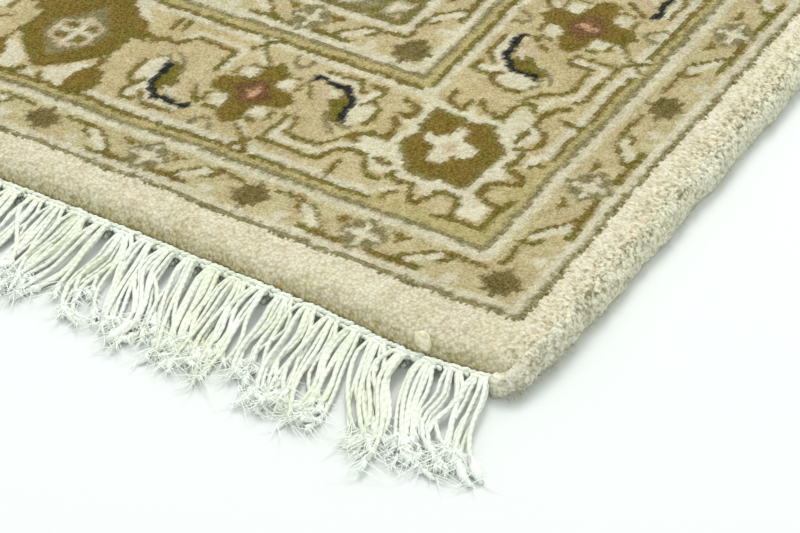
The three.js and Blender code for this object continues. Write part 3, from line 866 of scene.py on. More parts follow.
def selvedge(rng):
    """Points, faces and colours of the side on +X."""
    last = HALF_LENGTH + SELVEDGE_TIP[-1, 0]
    y = np.linspace(-last, last, int(2 * last / SELVEDGE_PITCH) + 1)
    (out, up), even = evenly(ROUND_EDGE, SELVEDGE_AROUND)
    inner, outer, top = (edge[:, None] for edge in side_faces(y))
    width = outer - inner
    shape = (len(y), SELVEDGE_AROUND)
    x, z = inner + width * out, top * up
    yy = np.broadcast_to(y[:, None], shape).copy()
    rough = WRAP["single"] * rng.normal(0, 1, shape)
    for height, over in WRAP["waves"]:
        rough = rough + height * smooth_noise(shape, over, rng)
    shaggy = 1 + WRAP["tips"] * smoothstep((np.abs(y) - HALF_LENGTH + TIP_LENGTH / 2) / TIP_LENGTH)[:, None]
    rough = (np.clip(rough, *WRAP["range"]) * shaggy * smoothstep(np.minimum(z / WRAP["height"], 1))
             * smoothstep((out - ROUND_EDGE[0][0]) / WRAP["share"]))
    away = np.stack([x - (inner + WRAP["middle"][0] * width), z - WRAP["middle"][1] * top], -1)
    away /= np.linalg.norm(away, axis=2, keepdims=True)
    x = x + away[..., 0] * rough
    z = np.maximum(z + away[..., 1] * rough, 0)
    tip = smoothstep((np.abs(y) - HALF_LENGTH + TIP_LENGTH) / TIP_LENGTH)[:, None]
    z = z + TIP_LIFT["by"] * tip * np.clip(1 - z / top, 0, 1) * smoothstep(
        (out - TIP_LIFT["from"]) / TIP_LIFT["over"])
    yy[1:-1] += WRAP["along"] * rng.uniform(-1, 1, (len(y) - 2, SELVEDGE_AROUND))
    points = np.stack([x, yy, z], -1).reshape(-1, 3)
    number = np.arange(x.size).reshape(shape)
    turned = np.roll(number, -1, axis=1)
    walls = np.stack([number[:-1], turned[:-1], turned[1:], number[1:]], -1).reshape(-1, 4)[:, ::-1]
    faces = np.full((len(walls) + 2, SELVEDGE_AROUND), -1)
    faces[:len(walls), :4] = walls
    faces[len(walls):] = np.stack([number[0], number[-1][::-1]])
    mix = np.clip(0.5 + EDGE_MIX["wander"] * smooth_noise(shape, EDGE_MIX["over"], rng), 0, 1)[..., None]
    by_tip = tip[..., None]
    tones = [tone * EDGE_LIGHT * (1 - by_tip) + pale * by_tip for tone, pale in zip(
        linear(EDGE_TONES) / EXPOSURE, linear(TIP_TONES) / EXPOSURE * TIP_LIGHT)]
    # Painted shade in small gaps between the overcast yarn's turns, near the top of its section
    near_top = np.exp(-(((even - EDGE_PIT_SHADE["at"] * even[-1]) / (EDGE_PIT_SHADE["reach"] * even[-1])) ** 2))
    near_top = near_top * (1 - EDGE_PIT_SHADE["tips"] * tip)
    single = rng.uniform(0, 1, shape) + EDGE_PIT_SHADE["wander"] * smooth_noise(shape, EDGE_PIT_SHADE["over"], rng)
    gap = smoothstep((single - EDGE_PIT_SHADE["without"]) / EDGE_PIT_SHADE["soft"]) * near_top
    colours = (tones[0] * (1 - mix) + tones[1] * mix) * (1 - gap[..., None] * EDGE_PIT_SHADE["dark"])
    return points, faces, colours.reshape(-1, 3)


HAIRS, TIP_HAIRS = 2100, 1200
# Where the tips' hairs stand from the end, how far in from the ends the rest stay, their angles round the
# section in degrees, the middle and reach of their roots in shares of width and height, their lengths, how
# they swing and curl, over how far past the end they lean outwards, their lowest height, and their radii
HAIR = {"tips": (-60, 6, 11), "ends": (4, 2), "angles": (-35, -5, 60), "tip_angles": (-30, 160),
        "across": (0.5, 0.46), "up": (0.45, 0.48), "length": (1.6, 4.0), "tip_length": 0.8, "swing": 0.7,
        "curl": 0.8, "lean": 8, "lowest": 0.15, "radii": [0.1, 0.08], "tip_radii": 1.3}


def edge_hairs(rng):
    """Loose wool fibres that stand off the side on +X, mostly low down, and more of them at its tips."""
    tips = (HALF_LENGTH + rng.triangular(*HAIR["tips"], TIP_HAIRS)) * rng.choice((-1, 1), TIP_HAIRS)
    plain = rng.uniform(-HALF_LENGTH + HAIR["ends"][0], HALF_LENGTH - HAIR["ends"][1], HAIRS - TIP_HAIRS)
    y = np.concatenate([plain, tips])
    angle = np.radians(rng.triangular(*HAIR["angles"], HAIRS))
    angle[-TIP_HAIRS:] = np.radians(rng.uniform(*HAIR["tip_angles"], TIP_HAIRS))
    inner, outer, top = side_faces(y)
    x = inner + (outer - inner) * (HAIR["across"][0] + HAIR["across"][1] * np.cos(angle))
    z = top * (HAIR["up"][0] + HAIR["up"][1] * np.sin(angle))
    length = rng.uniform(*HAIR["length"], HAIRS)
    length[-TIP_HAIRS:] *= HAIR["tip_length"]
    swing = rng.uniform(-1, 1, HAIRS)
    ahead = np.sign(y) * smoothstep((np.abs(y) - HALF_LENGTH) / HAIR["lean"])
    away = np.stack([np.cos(angle), HAIR["swing"] * swing + ahead, np.sin(angle)], -1)
    curl = rng.uniform(-1, 1, (HAIRS, 3)) * HAIR["curl"]
    share = np.linspace(0, 1, 3)
    paths = (np.stack([x, y, z], -1)[:, None] + away[:, None] * (length[:, None] * share)[..., None]
             + curl[:, None] * (share ** 2)[None, :, None])
    paths[..., 2] = np.maximum(paths[..., 2], HAIR["lowest"])
    thicker = np.where(np.arange(HAIRS) < HAIRS - TIP_HAIRS, 1, HAIR["tip_radii"])
    return spikes(paths, np.outer(thicker, HAIR["radii"]))


# Fringe

LOCKS, LOCK_PITCH = 82, 11.85
STRIP = {"width": 3.6, "half": 483.0}
# turns: by which the length changes from one lock to the next, in radians
LOCK_LENGTH = {"mean": 57.0, "spread": 3.0, "turns": (2.4, 0.7)}
SWAY = {"mean": 5.0, "width": 9.0, "length": 300.0, "zero": 300.0}
FAN = {"width": 20.0, "reach": 126.0}
BEND = 1.8                     # power of the way along a strand by which it leaves its lock's first direction
STRANDS, STRAND_RINGS, STRAND_SIDES, STRAND_RADIUS = 8, 9, 4, 1.0
# How much further the locks near the corner lean at their tips than the rest: place of the root, lean
LEAN = np.array([
    (207, 0), (219, -5), (231, -4), (243, 3), (255, -8), (267, 1), (278, -3), (290, -12),
    (302, 3), (314, 4), (326, 0), (338, 2), (350, 1), (361, -7), (373, -11), (385, -8),
    (397, -5), (409, -7), (421, -8), (433, 9), (444, 0), (456, 0), (468, -1), (480, -6)], float)
TWIST_PITCH = 7.0              # millimetres of yarn to a turn


def lock_frame():
    """Root, sideways shift, length and start of every lock of the front end."""
    number = np.arange(LOCKS)
    last = (LOCKS - 1) / 2 * LOCK_PITCH
    root = (number - (LOCKS - 1) / 2) * LOCK_PITCH
    uneven = np.sin(number * LOCK_LENGTH["turns"][0]) * np.cos(number * LOCK_LENGTH["turns"][1])
    length = LOCK_LENGTH["mean"] + LOCK_LENGTH["spread"] * uneven
    sway = SWAY["mean"] + SWAY["width"] * np.sin(2 * np.pi * (root - SWAY["zero"]) / SWAY["length"])
    near = np.clip((np.abs(root) - last + FAN["reach"]) / FAN["reach"], 0, 1)
    shift = sway * (1 - near) + np.sign(root) * FAN["width"] * near
    return root, shift, length, end_at(root) + GAP + STRIP["width"] / 2


# A lock from its root to its tip: share of its length, half its spread, height of its strands
LOCK_PROFILE = np.array([(0.0, 2.0, 3.8), (0.05, 2.1, 5.0), (0.11, 3.4, 5.2), (0.2, 4.8, 4.2),
                         (0.32, 5.3, 2.9), (0.5, 4.8, 1.8), (0.75, 4.3, 1.0), (1.0, 4.8, 0.4)])
# How a strand goes its own way. rings: power of their places. place: in its lock, as a share of the spread.
# near: of every so many locks together, and how that fades from one root to another. lock, strand: sideways
# at the tip, growing by a power. winding: mean and spread of the locks, spread of the strands, and how soon
# it is full. length: shortest, commonest and longest share. bow: sideways half-way
WANDER = {"rings": 1.1, "place": 0.12, "near": 3.0, "locks": 4, "fades": ((200, 260), (1, 0.2)), "lock": 1.6,
          "strand": 1.8, "power": 1.6, "winding": (0.6, 1.6, 0.8), "full": 2.5, "length": (0.64, 0.79, 1.03),
          "bow": 1.0}
# How high a strand lies on others, along its length, and how uneven the lock's height is
STACK = {"height": 1.1, "at": ([0, 0.15, 0.4, 0.8, 1], [0.1, 0.7, 1, 0.9, 0.6]), "rise": (0.8, 1.15)}
# Strands that leave their lock: the share of them, how far, growing by a power, and how much higher they end
LOOSE_STRANDS = {"share": 0.08, "by": 10, "power": 1.5, "up": 1.2}


def strand_paths(rng):
    root, shift, length, start = (np.repeat(a, STRANDS) for a in lock_frame())
    count = len(root)
    shift = shift + np.interp(root, LEAN[:, 0], LEAN[:, 1])
    t = np.linspace(0, 1, STRAND_RINGS) ** WANDER["rings"]
    spread, rise = (np.interp(t, LOCK_PROFILE[:, 0], LOCK_PROFILE[:, k]) for k in (1, 2))
    place = np.tile(np.linspace(-1, 1, STRANDS), LOCKS) + rng.normal(0, WANDER["place"], count)
    group = WANDER["locks"]
    together = np.interp(np.arange(LOCKS), np.arange(0, LOCKS + group, group),
                         rng.normal(0, WANDER["near"], LOCKS // group + 2))
    together = together * np.interp(lock_frame()[0], *WANDER["fades"])
    drift = np.repeat(together + rng.normal(0, WANDER["lock"], LOCKS), STRANDS)
    drift = drift + rng.normal(0, WANDER["strand"], count)
    mean, of_locks, of_strands = WANDER["winding"]
    winding = np.repeat(rng.normal(mean, of_locks, LOCKS), STRANDS) + rng.normal(0, of_strands, count)
    long = length * rng.triangular(*WANDER["length"], count)
    bow = rng.normal(0, WANDER["bow"], count)[:, None] * np.sin(np.pi * t)
    x = (root[:, None] + shift[:, None] * t ** BEND + place[:, None] * spread + bow
         + drift[:, None] * t ** WANDER["power"]
         + winding[:, None] * np.sin(2 * np.pi * t) * np.minimum(WANDER["full"] * t, 1))
    y = -(start[:, None] + long[:, None] * t)
    stack = np.abs(rng.normal(0, STACK["height"], count))[:, None] * np.interp(t, *STACK["at"])
    loose = (rng.random(count) < LOOSE_STRANDS["share"])[:, None] * t ** LOOSE_STRANDS["power"]
    x = x + rng.normal(0, LOOSE_STRANDS["by"], count)[:, None] * loose
    stack = stack + LOOSE_STRANDS["up"] * loose
    z = STRAND_RADIUS + rise * rng.uniform(*STACK["rise"], count)[:, None] + stack
    return np.stack([x, y, z], -1)


# Curls: the S-shaped part of a fibre's curl, how much of it goes up, and how far the fibre's end comes down
CURLS = {"twist": 0.4, "ways": [1, 1, 0.5], "down": 1.6}
STRAND_UNEVEN = (0.9, 1.08)
# The soft tuft of cotton that a strand's end opens into: where it starts, back from the end, its path, its
# radii, how uneven they are by ring and by tuft, and how flat and how rough it is
PUFF = {"back": 4.5, "length": (6, 10), "swing": 0.45, "curl": 2.2, "lift": 0.15,
        "radii": (1.0, 1.5, 1.75, 1.6, 1.1), "uneven": (0.75, 1.2), "size": (0.6, 1.15), "sides": 6,
        "flat": 0.75, "rough": 0.34}
# Loose fibres at a strand's end: the ring of its tuft that they start at, how many, shortest and longest
FRAYS = ((0, 2, 3, 7), (1, 3, 3, 7), (2, 3, 3, 8), (3, 3, 3, 8), (4, 3, 3, 8))
FRAY = {"rings": 3, "radii": (0.24, 0.18), "back": 1.0, "swing": 0.9, "curl": 2.4, "lift": 0.3, "up": 0.9,
        "lowest": 0.2}


def curly(rng, start, ahead, each, rings, length, form):
    """Paths of each fibres from every start, which wander off in curls and come down to the floor."""
    start, ahead = np.repeat(start, each, 0), np.repeat(ahead, each, 0)
    many = len(start)
    s = np.linspace(0, 1, rings)
    side = np.stack([-ahead[:, 1], ahead[:, 0], np.zeros(many)], -1)
    away = ahead + rng.normal(0, form["swing"], many)[:, None] * side
    away = away + rng.uniform(0, form["lift"], many)[:, None] * [0, 0, 1.0]
    long = rng.uniform(*length, many)
    bend = rng.normal(0, form["curl"], (many, 3)) * CURLS["ways"]
    twist = rng.normal(0, form["curl"] * CURLS["twist"], (many, 3)) * CURLS["ways"]
    paths = (start[:, None] + away[:, None] * (long[:, None] * s)[..., None]
             + bend[:, None] * (s ** 2)[:, None] + twist[:, None] * np.sin(2 * np.pi * s)[:, None])
    paths[..., 2] -= CURLS["down"] * s ** 2
    return paths


def strands(rng):
    """Shapes of the strands, of the soft tufts that their ends open into, and of the loose fibres there."""
    paths = strand_paths(rng)
    count = len(paths)
    radii = STRAND_RADIUS * rng.uniform(*STRAND_UNEVEN, (count, 1)) * np.ones(STRAND_RINGS)
    body = tubes(paths, radii, STRAND_SIDES)
    ahead = paths[:, -1] - paths[:, -3]
    ahead[:, 2] = 0
    ahead /= np.linalg.norm(ahead, axis=1, keepdims=True)
    start = paths[:, -1] - PUFF["back"] * ahead
    puffs = curly(rng, start, ahead, 1, len(PUFF["radii"]), PUFF["length"], PUFF)
    radii = np.array(PUFF["radii"]) * rng.uniform(*PUFF["uneven"], puffs.shape[:2])
    radii *= rng.uniform(*PUFF["size"], (len(puffs), 1))
    puffs[..., 2] = np.maximum(puffs[..., 2], PUFF["flat"] * radii + PUFF["rough"])
    frays = []
    for ring, each, *length in FRAYS:
        fray = curly(rng, puffs[:, ring] - FRAY["back"] * ahead, ahead, each, FRAY["rings"], length, FRAY)
        fray[..., 2] = np.maximum(fray[..., 2] + FRAY["up"], FRAY["lowest"])
        frays.append(spikes(fray, np.broadcast_to(FRAY["radii"], (len(fray), FRAY["rings"] - 1))))
    tufts, faces = tubes(puffs, radii, PUFF["sides"], PUFF["flat"])
    tufts = tufts + rng.uniform(-PUFF["rough"], PUFF["rough"], tufts.shape)
    return body, (tufts, faces), joined(frays)


def ply_map(thing, count, rings, sides, pitch):
    """A map along and round each tube, turns of the yarn's twist by share of the way round."""
    low = np.broadcast_to((np.arange(rings - 1) * pitch)[:, None], (rings - 1, sides))
    left = np.broadcast_to(np.arange(sides) / sides, (rings - 1, sides))
    right = left + 1 / sides
    wall = np.stack([np.stack(corner, -1) for corner in (
        (left, low), (right, low), (right, low + pitch), (left, low + pitch))], 2)
    loops = np.zeros((len(thing.data.loops), 2), np.float32)
    walls = np.tile(wall.reshape(-1, 2), (count, 1))
    loops[:len(walls)] = walls
    thing.data.uv_layers.new(name="ply").uv.foreach_set("vector", loops.ravel())


# Beads of the twined line. shares: of a bead's length and radius. size, stray: how uneven they are, and along
# the line, across it and up
BEAD = {"pitch": 2.9, "length": 4.2, "radius": 1.15, "slant": 0.5, "size": (0.82, 1.14),
        "stray": (0.25, 0.15, 0.35), "shares": ([-0.5, -0.2, 0.2, 0.5], [0.35, 1.0, 1.0, 0.35]), "sides": 5}
BEAD_ROWS = ((1.2, 4.7, 1), (3.2, 4.1, -1))      # in from the edge, height, way of the slant
# The small loops under the line, one between two locks
LOOPS = {"shift": 0.2, "drop": 4.2, "stray": 0.6, "height": (0.9, 2.2), "slant": 0.8, "length": 2.4,
         "radius": 0.7}


def beads(x, y, z, slant, length, radius):
    """Plump oval beads of yarn that head along the end, with a slant outwards or inwards."""
    heading = np.stack([np.ones(len(x)), slant, np.zeros(len(x))], -1)
    heading /= np.linalg.norm(heading, axis=1, keepdims=True)
    along, wide = (np.array(share) for share in BEAD["shares"])
    paths = np.stack([x, y, z], -1)[:, None] + heading[:, None] * (length[:, None] * along)[..., None]
    return tubes(paths, radius[:, None] * wide, BEAD["sides"])


def twined_line(rng):
    """Two rows of slanting stitches along the woven edge, and the small loops under it between the locks."""
    parts = []
    x = np.arange(-STRIP["half"], STRIP["half"], BEAD["pitch"])
    count = len(x)
    for row, (inward, height, slant) in enumerate(BEAD_ROWS):
        xs = x + row * BEAD["pitch"] / 2 + BEAD["stray"][0] * rng.uniform(-1, 1, count)
        y = -(end_at(xs) + GAP + inward) + BEAD["stray"][1] * rng.uniform(-1, 1, count)
        z = height + BEAD["stray"][2] * rng.uniform(-1, 1, count)
        size = rng.uniform(*BEAD["size"], count)
        slants = np.full(count, slant * BEAD["slant"])
        parts.append(beads(xs, y, z, slants, BEAD["length"] * size, BEAD["radius"] * size))
    root = lock_frame()[0]
    between = (root[:-1] + root[1:]) / 2
    count = len(between)
    xs = between + LOOPS["shift"] + LOOPS["stray"] * rng.uniform(-1, 1, count)
    y, z = -(end_at(xs) + GAP + LOOPS["drop"]), rng.uniform(*LOOPS["height"], count)
    slants = rng.uniform(-LOOPS["slant"], LOOPS["slant"], count)
    parts.append(beads(xs, y, z, slants, *(np.full(count, LOOPS[size]) for size in ("length", "radius"))))
    return joined(parts)


# Turns of yarn round a lock: how far down it, half their width and their height
HITCH_ROWS = ((1.9, 3.1, 7.2), (3.7, 2.9, 7.0))
# Their arc in half turns and its points, how uneven their width is, how far they lean and stray along the
# lock, their lowest height, and their yarn
HITCH = {"arc": (-0.35, 1.35), "points": 8, "width": (0.9, 1.1), "lean": 0.5, "stray": 0.3, "lowest": 0.75,
         "radius": 0.9, "sides": 5}


def hitches(rng):
    """The turns of yarn that hold each lock under the twined line."""
    root, _, _, start = lock_frame()
    parts = []
    first, last = (end * np.pi for end in HITCH["arc"])
    a = np.linspace(first, last, HITCH["points"])
    for inward, half, height in HITCH_ROWS:
        wide = half * rng.uniform(*HITCH["width"], LOCKS)
        x = root[:, None] + wide[:, None] * np.cos(a)
        z = height * 0.5 + height * 0.5 * np.sin(a)
        stray = HITCH["stray"] * rng.uniform(-1, 1, LOCKS)
        y = -(start + inward)[:, None] + HITCH["lean"] * np.sin(a) + stray[:, None]
        paths = np.stack([x, y, np.broadcast_to(np.maximum(z, HITCH["lowest"]), x.shape)], -1)
        parts.append(tubes(paths, np.full(paths.shape[:2], HITCH["radius"]), HITCH["sides"]))
    return joined(parts)


# The stray tuft: its middle, its direction, its size, and its shares of the length and of the radius
STRAY = {"at": (451.6, -743.5, 10.7), "heading": (0.73, -0.44, -0.52), "length": 8.8, "width": 6.4,
         "shares": ([-0.5, -0.42, -0.2, 0.1, 0.36, 0.5], [0.25, 0.75, 1.0, 0.95, 0.65, 0.2]), "sides": 10,
         "flat": 0.55, "light": 1.1}


def stray_tuft():
    """A small flat tuft of wool that lies on the front end's shoulder."""
    along, wide = (np.array(share) for share in STRAY["shares"])
    paths = (np.array(STRAY["at"]) + STRAY["length"] * along[:, None] * np.array(STRAY["heading"]))[None]
    return tubes(paths, wide[None] * STRAY["width"] / 2, STRAY["sides"], STRAY["flat"])


# Materials

SHEEN_ROUGHNESS = 0.5


def new_material(name, roughness, specular, sheen=0.0):
    material = bpy.data.materials.new(name)
    material.use_nodes = True
    nodes, links = material.node_tree.nodes, material.node_tree.links
    shader = nodes["Principled BSDF"]
    for socket, value in (("Roughness", roughness), ("Specular IOR Level", specular), ("Sheen Weight", sheen),
                          ("Sheen Roughness", SHEEN_ROUGHNESS)):
        shader.inputs[socket].default_value = value
    return material, nodes, links, shader


def math_node(nodes, links, operation, *values):
    node = nodes.new("ShaderNodeMath")
    node.operation = operation
    for socket, value in zip(node.inputs, values):
        if isinstance(value, (int, float)):
            socket.default_value = value
        else:
            links.new(value, socket)
    return node.outputs[0]


def texture(nodes, links, kind, scale, **values):
    """A texture in the rug's frame. scale is cells to a millimetre, one number or three."""
    where = nodes.new("ShaderNodeTexCoord").outputs["Object"]
    stretch = nodes.new("ShaderNodeMapping")
    scales = scale if hasattr(scale, "__len__") else [scale] * 3
    stretch.inputs["Scale"].default_value = [s / MM for s in scales]
    links.new(where, stretch.inputs["Vector"])
    node = nodes.new(kind)
    node.inputs["Scale"].default_value = 1.0
    links.new(stretch.outputs[0], node.inputs["Vector"])
    for name, value in values.items():
        node.inputs[name.replace("_", " ")].default_value = value
    return node


def remap(nodes, links, value, low, high, to_low, to_high):
    node = nodes.new("ShaderNodeMapRange")
    for name, number in (("From Min", low), ("From Max", high), ("To Min", to_low), ("To Max", to_high)):
        node.inputs[name].default_value = number
    links.new(value, node.inputs["Value"])
    return node.outputs["Result"]


def scaled_colour(nodes, links, colour, factor):
    node = nodes.new("ShaderNodeVectorMath")
    node.operation = "SCALE"
    links.new(colour, node.inputs[0])
    links.new(factor, node.inputs["Scale"])
    return node.outputs[0]


def bump(nodes, links, shader, *layers):
    """Bump layers, each (height, distance in millimetres, strength)."""
    before = None
    for height, distance, strength in layers:
        node = nodes.new("ShaderNodeBump")
        node.inputs["Distance"].default_value = distance * MM
        node.inputs["Strength"].default_value = strength
        links.new(height, node.inputs["Height"])
        if before:
            links.new(before, node.inputs["Normal"])
        before = node.outputs["Normal"]
    links.new(before, shader.inputs["Normal"])


def blended(nodes, links, tones, scale, low, high, light=EXPOSURE):
    """A colour that wanders slowly between two tones."""
    blend = nodes.new("ShaderNodeMix")
    blend.data_type = "RGBA"
    for socket, tone in zip(("A", "B"), tones):
        blend.inputs[socket].default_value = (*(linear(tone) / light), 1)
    wander = texture(nodes, links, "ShaderNodeTexNoise", scale, Detail=3.0)
    links.new(remap(nodes, links, wander.outputs[0], low, high, 0, 1), blend.inputs["Factor"])
    return blend.outputs["Result"]


# Roughness, specular level and sheen of the fibres, and the light that cotton's tones were read against
WOOL, COTTON, COTTON_LIGHT = (0.95, 0.08, 0.05), (0.9, 0.2, 0.2), 1.03
# The painted shade in the pits between tufts is full this far from a tuft's middle
PIT_SHADE_END = 0.85                 # how far from a tuft's middle its dark side is in full


def wool_material(name, kernel, painted_pit_shade, order, relief=0.5, wrapped=None, gap=0.25):
    """Cut wool in the mesh's colours: tufts of kernel = (x, y, z) millimetres with painted shade in the pits
    between them, as dark as painted_pit_shade says, and fuzzy fibres, which show more on a dark yarn. order
    is how irregularly the tufts stand, 0 to 1, wrapped the pitch of an overcast yarn's turns along y, which
    get painted shade between them, and gap how far from a tuft's middle the painted shade starts."""
    material, nodes, links, shader = new_material(name, *WOOL)
    source = nodes.new("ShaderNodeVertexColor")
    source.layer_name = "yarn"
    cells = texture(nodes, links, "ShaderNodeTexVoronoi", [1 / size for size in kernel], Randomness=order)
    fuzz = texture(nodes, links, "ShaderNodeTexNoise", 1.25, Detail=3.0, Roughness=0.65)
    fibres = texture(nodes, links, "ShaderNodeTexNoise", 2.6, Detail=2.0, Roughness=0.7)
    speckle = nodes.new("ShaderNodeGamma")
    links.new(source.outputs["Color"], speckle.inputs["Color"])
    # Painted shade in the pits between tufts: darker and deeper in tone away from a tuft's middle
    pit_shade_gamma = remap(nodes, links, cells.outputs["Distance"], gap, PIT_SHADE_END, 1.0 - 0.8 * painted_pit_shade, 1.0 + 1.6 * painted_pit_shade)
    fuzzy = remap(nodes, links, fuzz.outputs[0], 0.3, 0.7, 0.76, 1.26)
    links.new(math_node(nodes, links, "MULTIPLY", pit_shade_gamma, fuzzy), speckle.inputs["Gamma"])
    pit_shade = remap(nodes, links, cells.outputs["Distance"], gap, PIT_SHADE_END, 1.03, 1.0 - 0.6 * painted_pit_shade)
    grain = remap(nodes, links, fibres.outputs[0], 0.3, 0.7, 0.93, 1.07)
    shade = math_node(nodes, links, "MULTIPLY", pit_shade, grain)
    height = remap(nodes, links, cells.outputs["Distance"], 0.0, 0.9, 1.0, 0.0)
    layers = [(height, 0.8, relief), (fuzz.outputs[0], 1.2, 0.55)]
    if wrapped:
        along_yarn = (0.2, 1 / wrapped, 0.2)
        turns = texture(nodes, links, "ShaderNodeTexNoise", along_yarn, Detail=2.0, Roughness=0.5)
        # Painted shade in the grooves between the overcast yarn's turns
        groove = remap(nodes, links, turns.outputs[0], 0.35, 0.55, 0.92, 1.0)
        shade = math_node(nodes, links, "MULTIPLY", shade, groove)
        layers.insert(0, (turns.outputs[0], 1.6, 0.6))
    links.new(scaled_colour(nodes, links, speckle.outputs[0], shade), shader.inputs["Base Color"])
    bump(nodes, links, shader, *layers)
    return material


def cotton_material(name, tones, twisted=False, fluffy=False):
    """White cotton with a slow change of tint and fine fibres, and a plied yarn's twist where it has one."""
    material, nodes, links, shader = new_material(name, *COTTON)
    base = blended(nodes, links, tones, 0.035, 0.42, 0.7, COTTON_LIGHT)
    fibres = texture(nodes, links, "ShaderNodeTexNoise", 2.6, Detail=2.0, Roughness=0.7)
    shade = remap(nodes, links, fibres.outputs[0], 0.3, 0.7, *((0.94, 1.01) if fluffy else (0.88, 1.04)))
    layers = [(fibres.outputs[0], 0.4, 0.5)]
    if fluffy:
        clumps = texture(nodes, links, "ShaderNodeTexNoise", (1.1, 0.5, 0.8), Detail=4.0, Roughness=0.7)
        layers.insert(0, (clumps.outputs[0], 1.4, 0.4))
        # Painted shade in the hollows between the fluff's clumps, where their bump is low
        clump_shade = remap(nodes, links, clumps.outputs[0], 0.35, 0.55, 0.95, 1.02)
        shade = math_node(nodes, links, "MULTIPLY", shade, clump_shade)
    if twisted:
        where = nodes.new("ShaderNodeUVMap")
        where.uv_map = "ply"
        split = nodes.new("ShaderNodeSeparateXYZ")
        links.new(where.outputs[0], split.inputs[0])
        turn = math_node(nodes, links, "ADD", split.outputs["X"], split.outputs["Y"])
        wave = math_node(nodes, links, "SINE", math_node(nodes, links, "MULTIPLY", turn, 2 * math.pi))
        groove = math_node(nodes, links, "ABSOLUTE", wave)
        layers.insert(0, (groove, 0.45, 0.45))
        # Painted shade in the grooves of the plied yarn's twist
        shade = math_node(nodes, links, "MULTIPLY", shade, remap(nodes, links, groove, 0, 0.6, 0.88, 1.0))
    links.new(scaled_colour(nodes, links, base, shade), shader.inputs["Base Color"])
    bump(nodes, links, shader, *layers)
    return material


# Camera, floor and light

# Floor: half its width in millimetres, its colour, roughness and specular level
FLOOR = {"half": 8000, "grey": (0.77, 0.765, 0.765), "roughness": 0.9, "specular": 0.1}
# The fitted camera. focal, picture: in pixels. target, distance, sensor: in millimetres. clip: in metres
CAMERA = {"focal": 2859.85, "azimuth": -0.630221, "elevation": 0.681839, "roll": -0.081663,
          "target": (419.184, -710.616, 12.0), "distance": 1150.72, "picture": 800, "sensor": 36.0,
          "clip": (0.05, 20)}
# In metres and watts
KEY = {"at": (-0.37, 0.95, 2.2), "aim": (0.4, -0.7, 0), "size": 1.3, "energy": 42.0,
       "colour": (1.0, 0.965, 0.975)}
WORLD = {"Color": (0.90, 1.0, 0.95, 1), "Strength": 1.0}


def make_camera():
    az, el, roll = CAMERA["azimuth"], CAMERA["elevation"], CAMERA["roll"]
    ahead = Vector((math.sin(az) * math.cos(el), math.cos(az) * math.cos(el), -math.sin(el)))
    right = Vector((math.cos(az), -math.sin(az), 0))
    up = right.cross(ahead)
    c, s = math.cos(roll), math.sin(roll)
    across, upward = c * right + s * up, -s * right + c * up
    data = bpy.data.cameras.new("camera")
    data.sensor_width = CAMERA["sensor"]
    data.lens = CAMERA["focal"] / CAMERA["picture"] * CAMERA["sensor"]
    data.clip_start, data.clip_end = CAMERA["clip"]
    camera = bpy.data.objects.new("camera", data)
    place = (Vector(CAMERA["target"]) - ahead * CAMERA["distance"]) * MM
    turn = Matrix((across, upward, -ahead)).transposed()
    camera.matrix_world = Matrix.Translation(place) @ turn.to_4x4()
    bpy.context.scene.collection.objects.link(camera)
    bpy.context.scene.camera = camera


def make_floor():
    half = FLOOR["half"]
    points = np.array([(-half, -half, 0), (half, -half, 0), (half, half, 0), (-half, half, 0)], float)
    floor = make_object("floor", points, np.array([[0, 1, 2, 3]]), smooth=False)
    material, nodes, links, shader = new_material("floor", FLOOR["roughness"], FLOOR["specular"])
    shader.inputs["Base Color"].default_value = (*FLOOR["grey"], 1)
    floor.data.materials.append(material)


def make_light():
    world = bpy.data.worlds.new("studio")
    bpy.context.scene.world = world
    world.use_nodes = True
    for name, value in WORLD.items():
        world.node_tree.nodes["Background"].inputs[name].default_value = value
    data = bpy.data.lights.new("key", "AREA")
    data.shape, data.size, data.energy, data.color = "DISK", KEY["size"], KEY["energy"], KEY["colour"]
    lamp = bpy.data.objects.new("key", data)
    lamp.location = KEY["at"]
    lamp.rotation_mode = "QUATERNION"
    lamp.rotation_quaternion = (Vector(KEY["aim"]) - Vector(KEY["at"])).to_track_quat("-Z", "Y")
    bpy.context.scene.collection.objects.link(lamp)


# Making

make_camera()
make_floor()
make_light()
bpy.context.scene.view_settings.view_transform = "Standard"

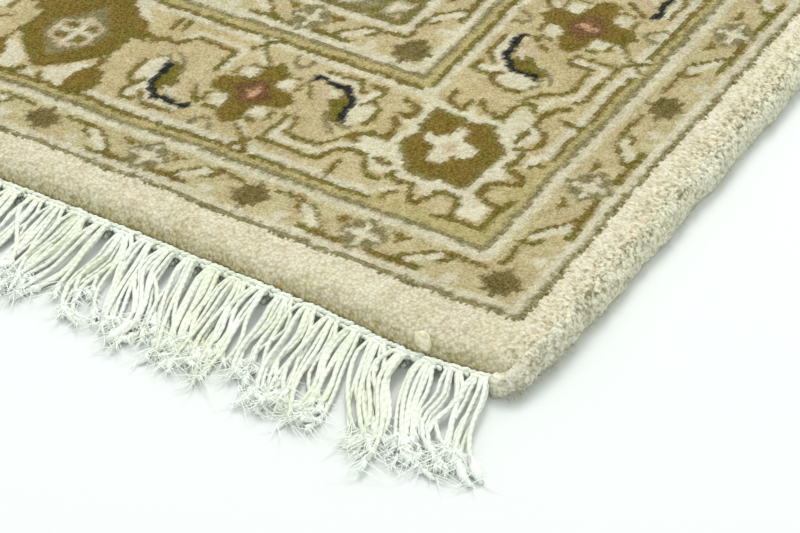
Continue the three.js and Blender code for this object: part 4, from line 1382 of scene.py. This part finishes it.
# The third number of each wool is how dark its painted shade in the pits between tufts is
pile_wool = wool_material("pile_wool", (1.2, 1.2, 1.2), 0.12, 0.95)
band_wool = wool_material("band_wool", (1.6, 1.6, 1.6), 0.2, 0.9, relief=0.35)
side_wool = wool_material("side_wool", (2.2, 1.1, 1.4), 0.22, 0.85, relief=0.34, wrapped=2.4, gap=0.4)
edge_wool = wool_material("edge_wool", (2.2, 1.4, 1.6), 0.34, 0.85, relief=0.5, wrapped=2.4, gap=0.45)
cotton = cotton_material("cotton", ((254, 254, 245), (246, 246, 224)), twisted=True)
fluff = cotton_material("fluff", ((252, 253, 247), (249, 251, 239)), fluffy=True)
twine = cotton_material("twine", ((252, 253, 243), (243, 245, 227)))


def dress(thing, material, node, slot):
    """Gives a piece its material, hangs it under the root body and hides the part's solid named node; slot is
    not used.
    """
    thing.data.materials.append(material)
    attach(thing, "root")
    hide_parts(node)
    return thing


tiles, colours = make_pile()
back = make_back(colours)
body_pieces = [back, *tiles]
for thing in body_pieces:
    on_side = thing.name in ("pile_band_left", "pile_band_right")
    wool = side_wool if on_side else band_wool if "band" in thing.name else pile_wool
    dress(thing, wool, "rug_body", "pile_wool")
stray = dress(make_object("stray_tuft", *stray_tuft()), band_wool, "rug_body", "pile_wool")
one_colour(stray, linear(TIP_TONES[1]) * STRAY["light"] / EXPOSURE)


def add_trim(name, shape, turned, *looks):
    """A piece of the right side or the front end, or its twin half a turn round."""
    points, faces = shape
    points = half_turn(points) if turned else points
    thing = make_object(name, points, faces, smooth="frays" not in name)
    dress(thing, *looks)
    return thing


for side, turned in (("right", False), ("left", True)):
    rng = seeded(10 + turned)
    looks = edge_wool, f"selvedge_{side}", "selvedge_wool"
    *overcast, colours = selvedge(rng)
    set_colours(add_trim(f"selvedge_wool_{side}", overcast, turned, *looks), colours, "POINT")
    hairs = add_trim(f"edge_hairs_{side}", edge_hairs(rng), turned, *looks)
    one_colour(hairs, linear(EDGE_TONES[0]) / EXPOSURE * EDGE_LIGHT)
for end, turned in (("front", False), ("back", True)):
    rng = seeded(20 + turned)
    body, puffs, frays = strands(rng)
    things = [add_trim(f"{name}_{end}", shape, turned, material, f"fringe_{end}", "cotton")
              for name, shape, material in (
                  ("twined_line", twined_line(rng), twine), ("lock_hitches", hitches(rng), twine),
                  ("fringe_strands", body, cotton), ("fringe_fluff", puffs, fluff),
                  ("fringe_frays", frays, fluff))]
    ply_map(things[2], LOCKS * STRANDS, STRAND_RINGS, STRAND_SIDES,
            LOCK_LENGTH["mean"] * 0.9 / (STRAND_RINGS - 1) / TWIST_PITCH)
